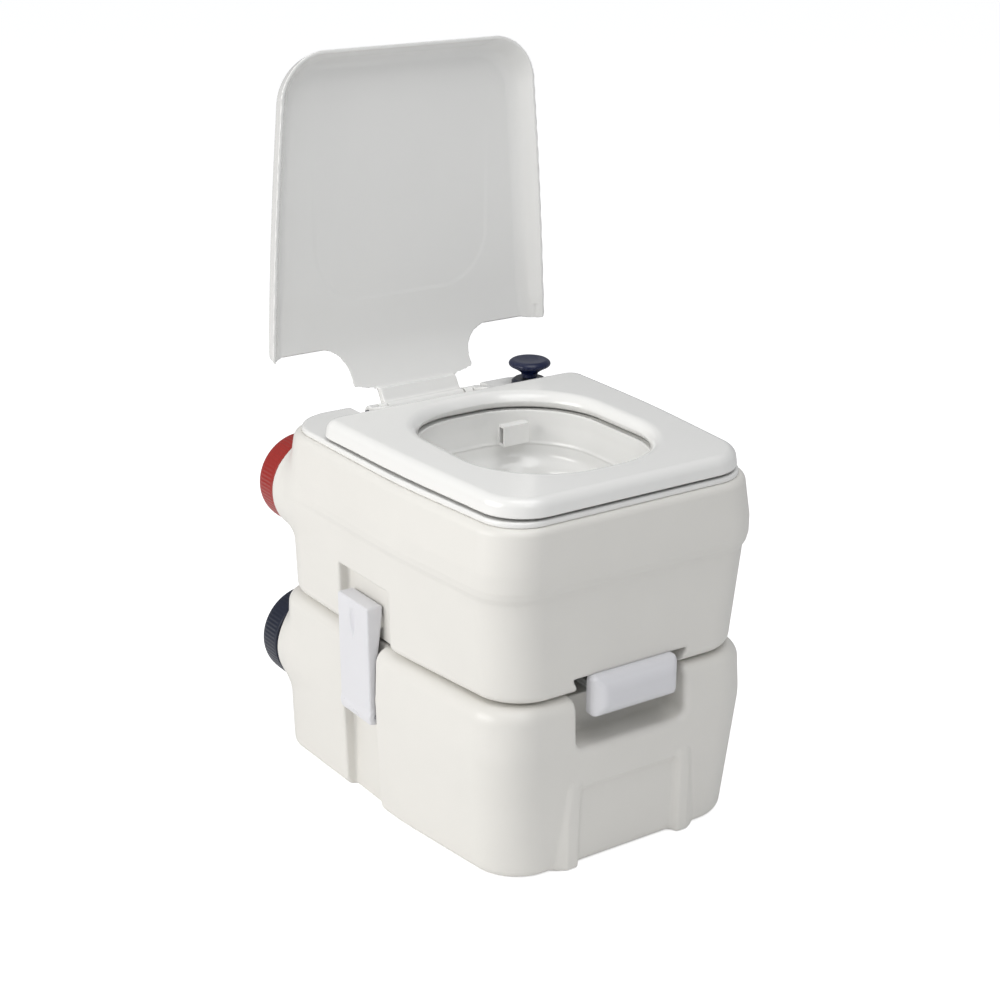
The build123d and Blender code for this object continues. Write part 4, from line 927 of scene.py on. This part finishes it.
class CAMPTOILET_OT_finishes(bpy.types.Operator):
    """Give the pieces that come straight from the frame their finishes"""

    bl_idname = "camptoilet.finishes"
    bl_label = "Finishes of the small parts"

    def execute(self, context):
        colours = context.scene.camptoilet_colours
        rubber = moulded("seal_rubber", colours.rubber, (0.62, 0.78), 1200.0, 40.0, 0.15, dust_and_shade=0.4)
        steel = moulded("bright_steel", colours.steel, (0.22, 0.36), 1500.0, 60.0, 0.05, metal=1.0, dust_and_shade=0.05)
        valve = satin_plastic("valve_plastic_finish", colours.valve)
        pale = satin_plastic("pump_plastic_finish", colours.pale)
        navy = satin_plastic("waste_cap_plastic", colours.waste_cap)
        finishes = {
            "valve_body": valve, "valve_clamp_ring": valve, "valve_screws": steel,
            "valve_blade_seal": rubber, "valve_lip_seal": rubber,
            "valve_blade": pale, "latch_pin_left": steel, "latch_pin_right": steel,
            "waste_cap_gasket": rubber, "fill_cap_gasket": rubber, "hinge_post_left": gloss_plastic(),
            "hinge_post_right": gloss_plastic(), "hinge_pin_left": navy, "hinge_pin_right": navy,
            "hinge_post_screws": steel, "pump_rod": pale, "pump_piston": pale, "piston_ring": rubber,
            "pump_barrel": pale, "pump_collar": navy, "pump_foot_valve": rubber, "pump_strainer": pale,
            "flush_hose": pale, "flush_nozzle": gloss_plastic(),
        }
        for node, material in finishes.items():
            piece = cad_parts[node]
            piece.data.materials.clear()
            piece.data.materials.append(material)
        return {"FINISHED"}


# ---------------------------------------------------------------- stage
def area_light(name, spot, aim, size, power, tint=(1.0, 1.0, 1.0)):
    """Rectangular soft light at a spot, aimed at a point."""
    lamp = bpy.data.lights.new(name, "AREA")
    lamp.shape = "RECTANGLE"
    lamp.size, lamp.size_y = size
    lamp.energy = power
    lamp.color = tint
    light = bpy.data.objects.new(name, lamp)
    light.location = spot
    light.rotation_euler = (Vector(aim) - Vector(spot)).to_track_quat("-Z", "Y").to_euler()
    bpy.context.scene.collection.objects.link(light)


def studio_camera():
    """Camera a metre above the floor, front left, looking down at the seat."""
    data = bpy.data.cameras.new("studio_camera")
    data.sensor_width = 36.0
    data.lens = CAMERA_LENS
    data.clip_start, data.clip_end = 0.05, 60.0
    yaw, pitch, roll = [math.radians(angle) for angle in CAMERA_TURN]
    ahead = Vector((math.sin(yaw) * math.cos(pitch), math.cos(yaw) * math.cos(pitch), -math.sin(pitch)))
    right = Vector((math.cos(yaw), -math.sin(yaw), 0.0))
    up = right.cross(ahead)
    tilted_right = right * math.cos(roll) + up * math.sin(roll)
    tilted_up = up * math.cos(roll) - right * math.sin(roll)
    camera = bpy.data.objects.new("studio_camera", data)
    turn = Matrix((tilted_right, tilted_up, -ahead)).transposed().to_4x4()
    camera.matrix_world = Matrix.Translation(CAMERA_SPOT) @ turn
    bpy.context.scene.collection.objects.link(camera)
    bpy.context.scene.camera = camera


def studio_floor():
    """Wide pale floor."""
    mesh = bpy.data.meshes.new("studio_floor")
    half = 9.0
    corners = [(-half, -half, 0), (half, -half, 0), (half, half, 0), (-half, half, 0)]
    mesh.from_pydata(corners, [], [(0, 1, 2, 3)])
    floor = bpy.data.objects.new("studio_floor", mesh)
    floor.location.z = -0.0004
    material = bpy.data.materials.new("studio_floor_paint")
    material.use_nodes = True
    shader = material.node_tree.nodes["Principled BSDF"]
    shader.inputs["Base Color"].default_value = (*bpy.context.scene.camptoilet_colours.floor, 1.0)
    shader.inputs["Roughness"].default_value = 0.8
    shader.inputs["Specular IOR Level"].default_value = 0.1
    shader.inputs["Emission Color"].default_value = (1.0, 1.0, 1.0, 1.0)
    ray = material.node_tree.nodes.new("ShaderNodeLightPath")
    glow = material.node_tree.nodes.new("ShaderNodeMath")
    glow.operation = "MULTIPLY"
    glow.inputs[1].default_value = FLOOR_GLOW
    material.node_tree.links.new(ray.outputs["Is Camera Ray"], glow.inputs[0])
    material.node_tree.links.new(glow.outputs[0], shader.inputs["Emission Strength"])
    mesh.materials.append(material)
    bpy.context.scene.collection.objects.link(floor)


class CAMPTOILET_OT_stage(bpy.types.Operator):
    """Set up the floor, the lights and the camera"""

    bl_idname = "camptoilet.stage"
    bl_label = "Stage"

    def execute(self, context):
        studio_camera()
        studio_floor()
        world = bpy.data.worlds.new("studio_world")
        world.use_nodes = True
        sky = world.node_tree.nodes["Background"]
        sky.inputs["Color"].default_value = (0.97, 0.98, 1.0, 1.0)
        sky.inputs["Strength"].default_value = SKY_STRENGTH
        backdrop = world.node_tree.nodes.new("ShaderNodeBackground")
        backdrop.inputs["Strength"].default_value = BACKDROP_STRENGTH
        backdrop.inputs["Color"].default_value = (1.0, 1.0, 1.0, 1.0)
        ray = world.node_tree.nodes.new("ShaderNodeLightPath")
        seen = world.node_tree.nodes.new("ShaderNodeMixShader")
        link = world.node_tree.links.new
        link(ray.outputs["Is Camera Ray"], seen.inputs[0])
        link(sky.outputs[0], seen.inputs[1])
        link(backdrop.outputs[0], seen.inputs[2])
        link(seen.outputs[0], world.node_tree.nodes["World Output"].inputs["Surface"])
        context.scene.world = world
        context.scene.view_settings.view_transform = "Standard"
        middle = (0.0, 0.0, 0.35)
        area_light("key_light", (-2.6, 0.3, 1.3), middle, (1.8, 1.6), 40.0, (1.0, 0.985, 0.96))
        area_light("top_light", (-0.2, -0.7, 2.6), middle, (1.6, 1.6), 20.0)
        area_light("front_light", (-0.5, -1.7, 1.8), (0.0, 0.2, 0.65), (0.8, 0.8), 4.5, (0.98, 0.99, 1.0))
        return {"FINISHED"}


# ---------------------------------------------------------------- panel and registration
class CAMPTOILET_PT_panel(bpy.types.Panel):
    """Camp toilet's pieces and their sizes"""

    bl_idname = "CAMPTOILET_PT_panel"
    bl_label = "Camp toilet"
    bl_space_type = "VIEW_3D"
    bl_region_type = "UI"
    bl_category = "Camp toilet"

    def draw(self, context):
        layout = self.layout
        for group in PROPERTY_GROUPS:
            props = getattr(context.scene, group)
            for key in props.bl_rna.properties.keys():
                if key not in ("rna_type", "name"):
                    layout.prop(props, key)
        for operator in OPERATORS:
            layout.operator(operator.bl_idname)


PROPERTY_GROUPS = {
    "camptoilet_tank_sizes": CAMPTOILET_tank_sizes,
    "camptoilet_top_sizes": CAMPTOILET_top_sizes,
    "camptoilet_hardware_sizes": CAMPTOILET_hardware_sizes,
    "camptoilet_colours": CAMPTOILET_colours,
}
OPERATORS = (
    CAMPTOILET_OT_stage,
    CAMPTOILET_OT_tanks,
    CAMPTOILET_OT_top,
    CAMPTOILET_OT_hardware,
    CAMPTOILET_OT_finishes,
)


def register():
    for group, kind in PROPERTY_GROUPS.items():
        bpy.utils.register_class(kind)
        setattr(bpy.types.Scene, group, PointerProperty(type=kind))
    for kind in (*OPERATORS, CAMPTOILET_PT_panel):
        bpy.utils.register_class(kind)


def unregister():
    for kind in (CAMPTOILET_PT_panel, *reversed(OPERATORS)):
        bpy.utils.unregister_class(kind)
    for group, kind in PROPERTY_GROUPS.items():
        delattr(bpy.types.Scene, group)
        bpy.utils.unregister_class(kind)


def main():
    """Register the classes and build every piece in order."""
    register()
    bpy.ops.camptoilet.stage()
    bpy.ops.camptoilet.tanks()
    bpy.ops.camptoilet.top()
    bpy.ops.camptoilet.hardware()
    bpy.ops.camptoilet.finishes()


if __name__ == "__main__":
    main()
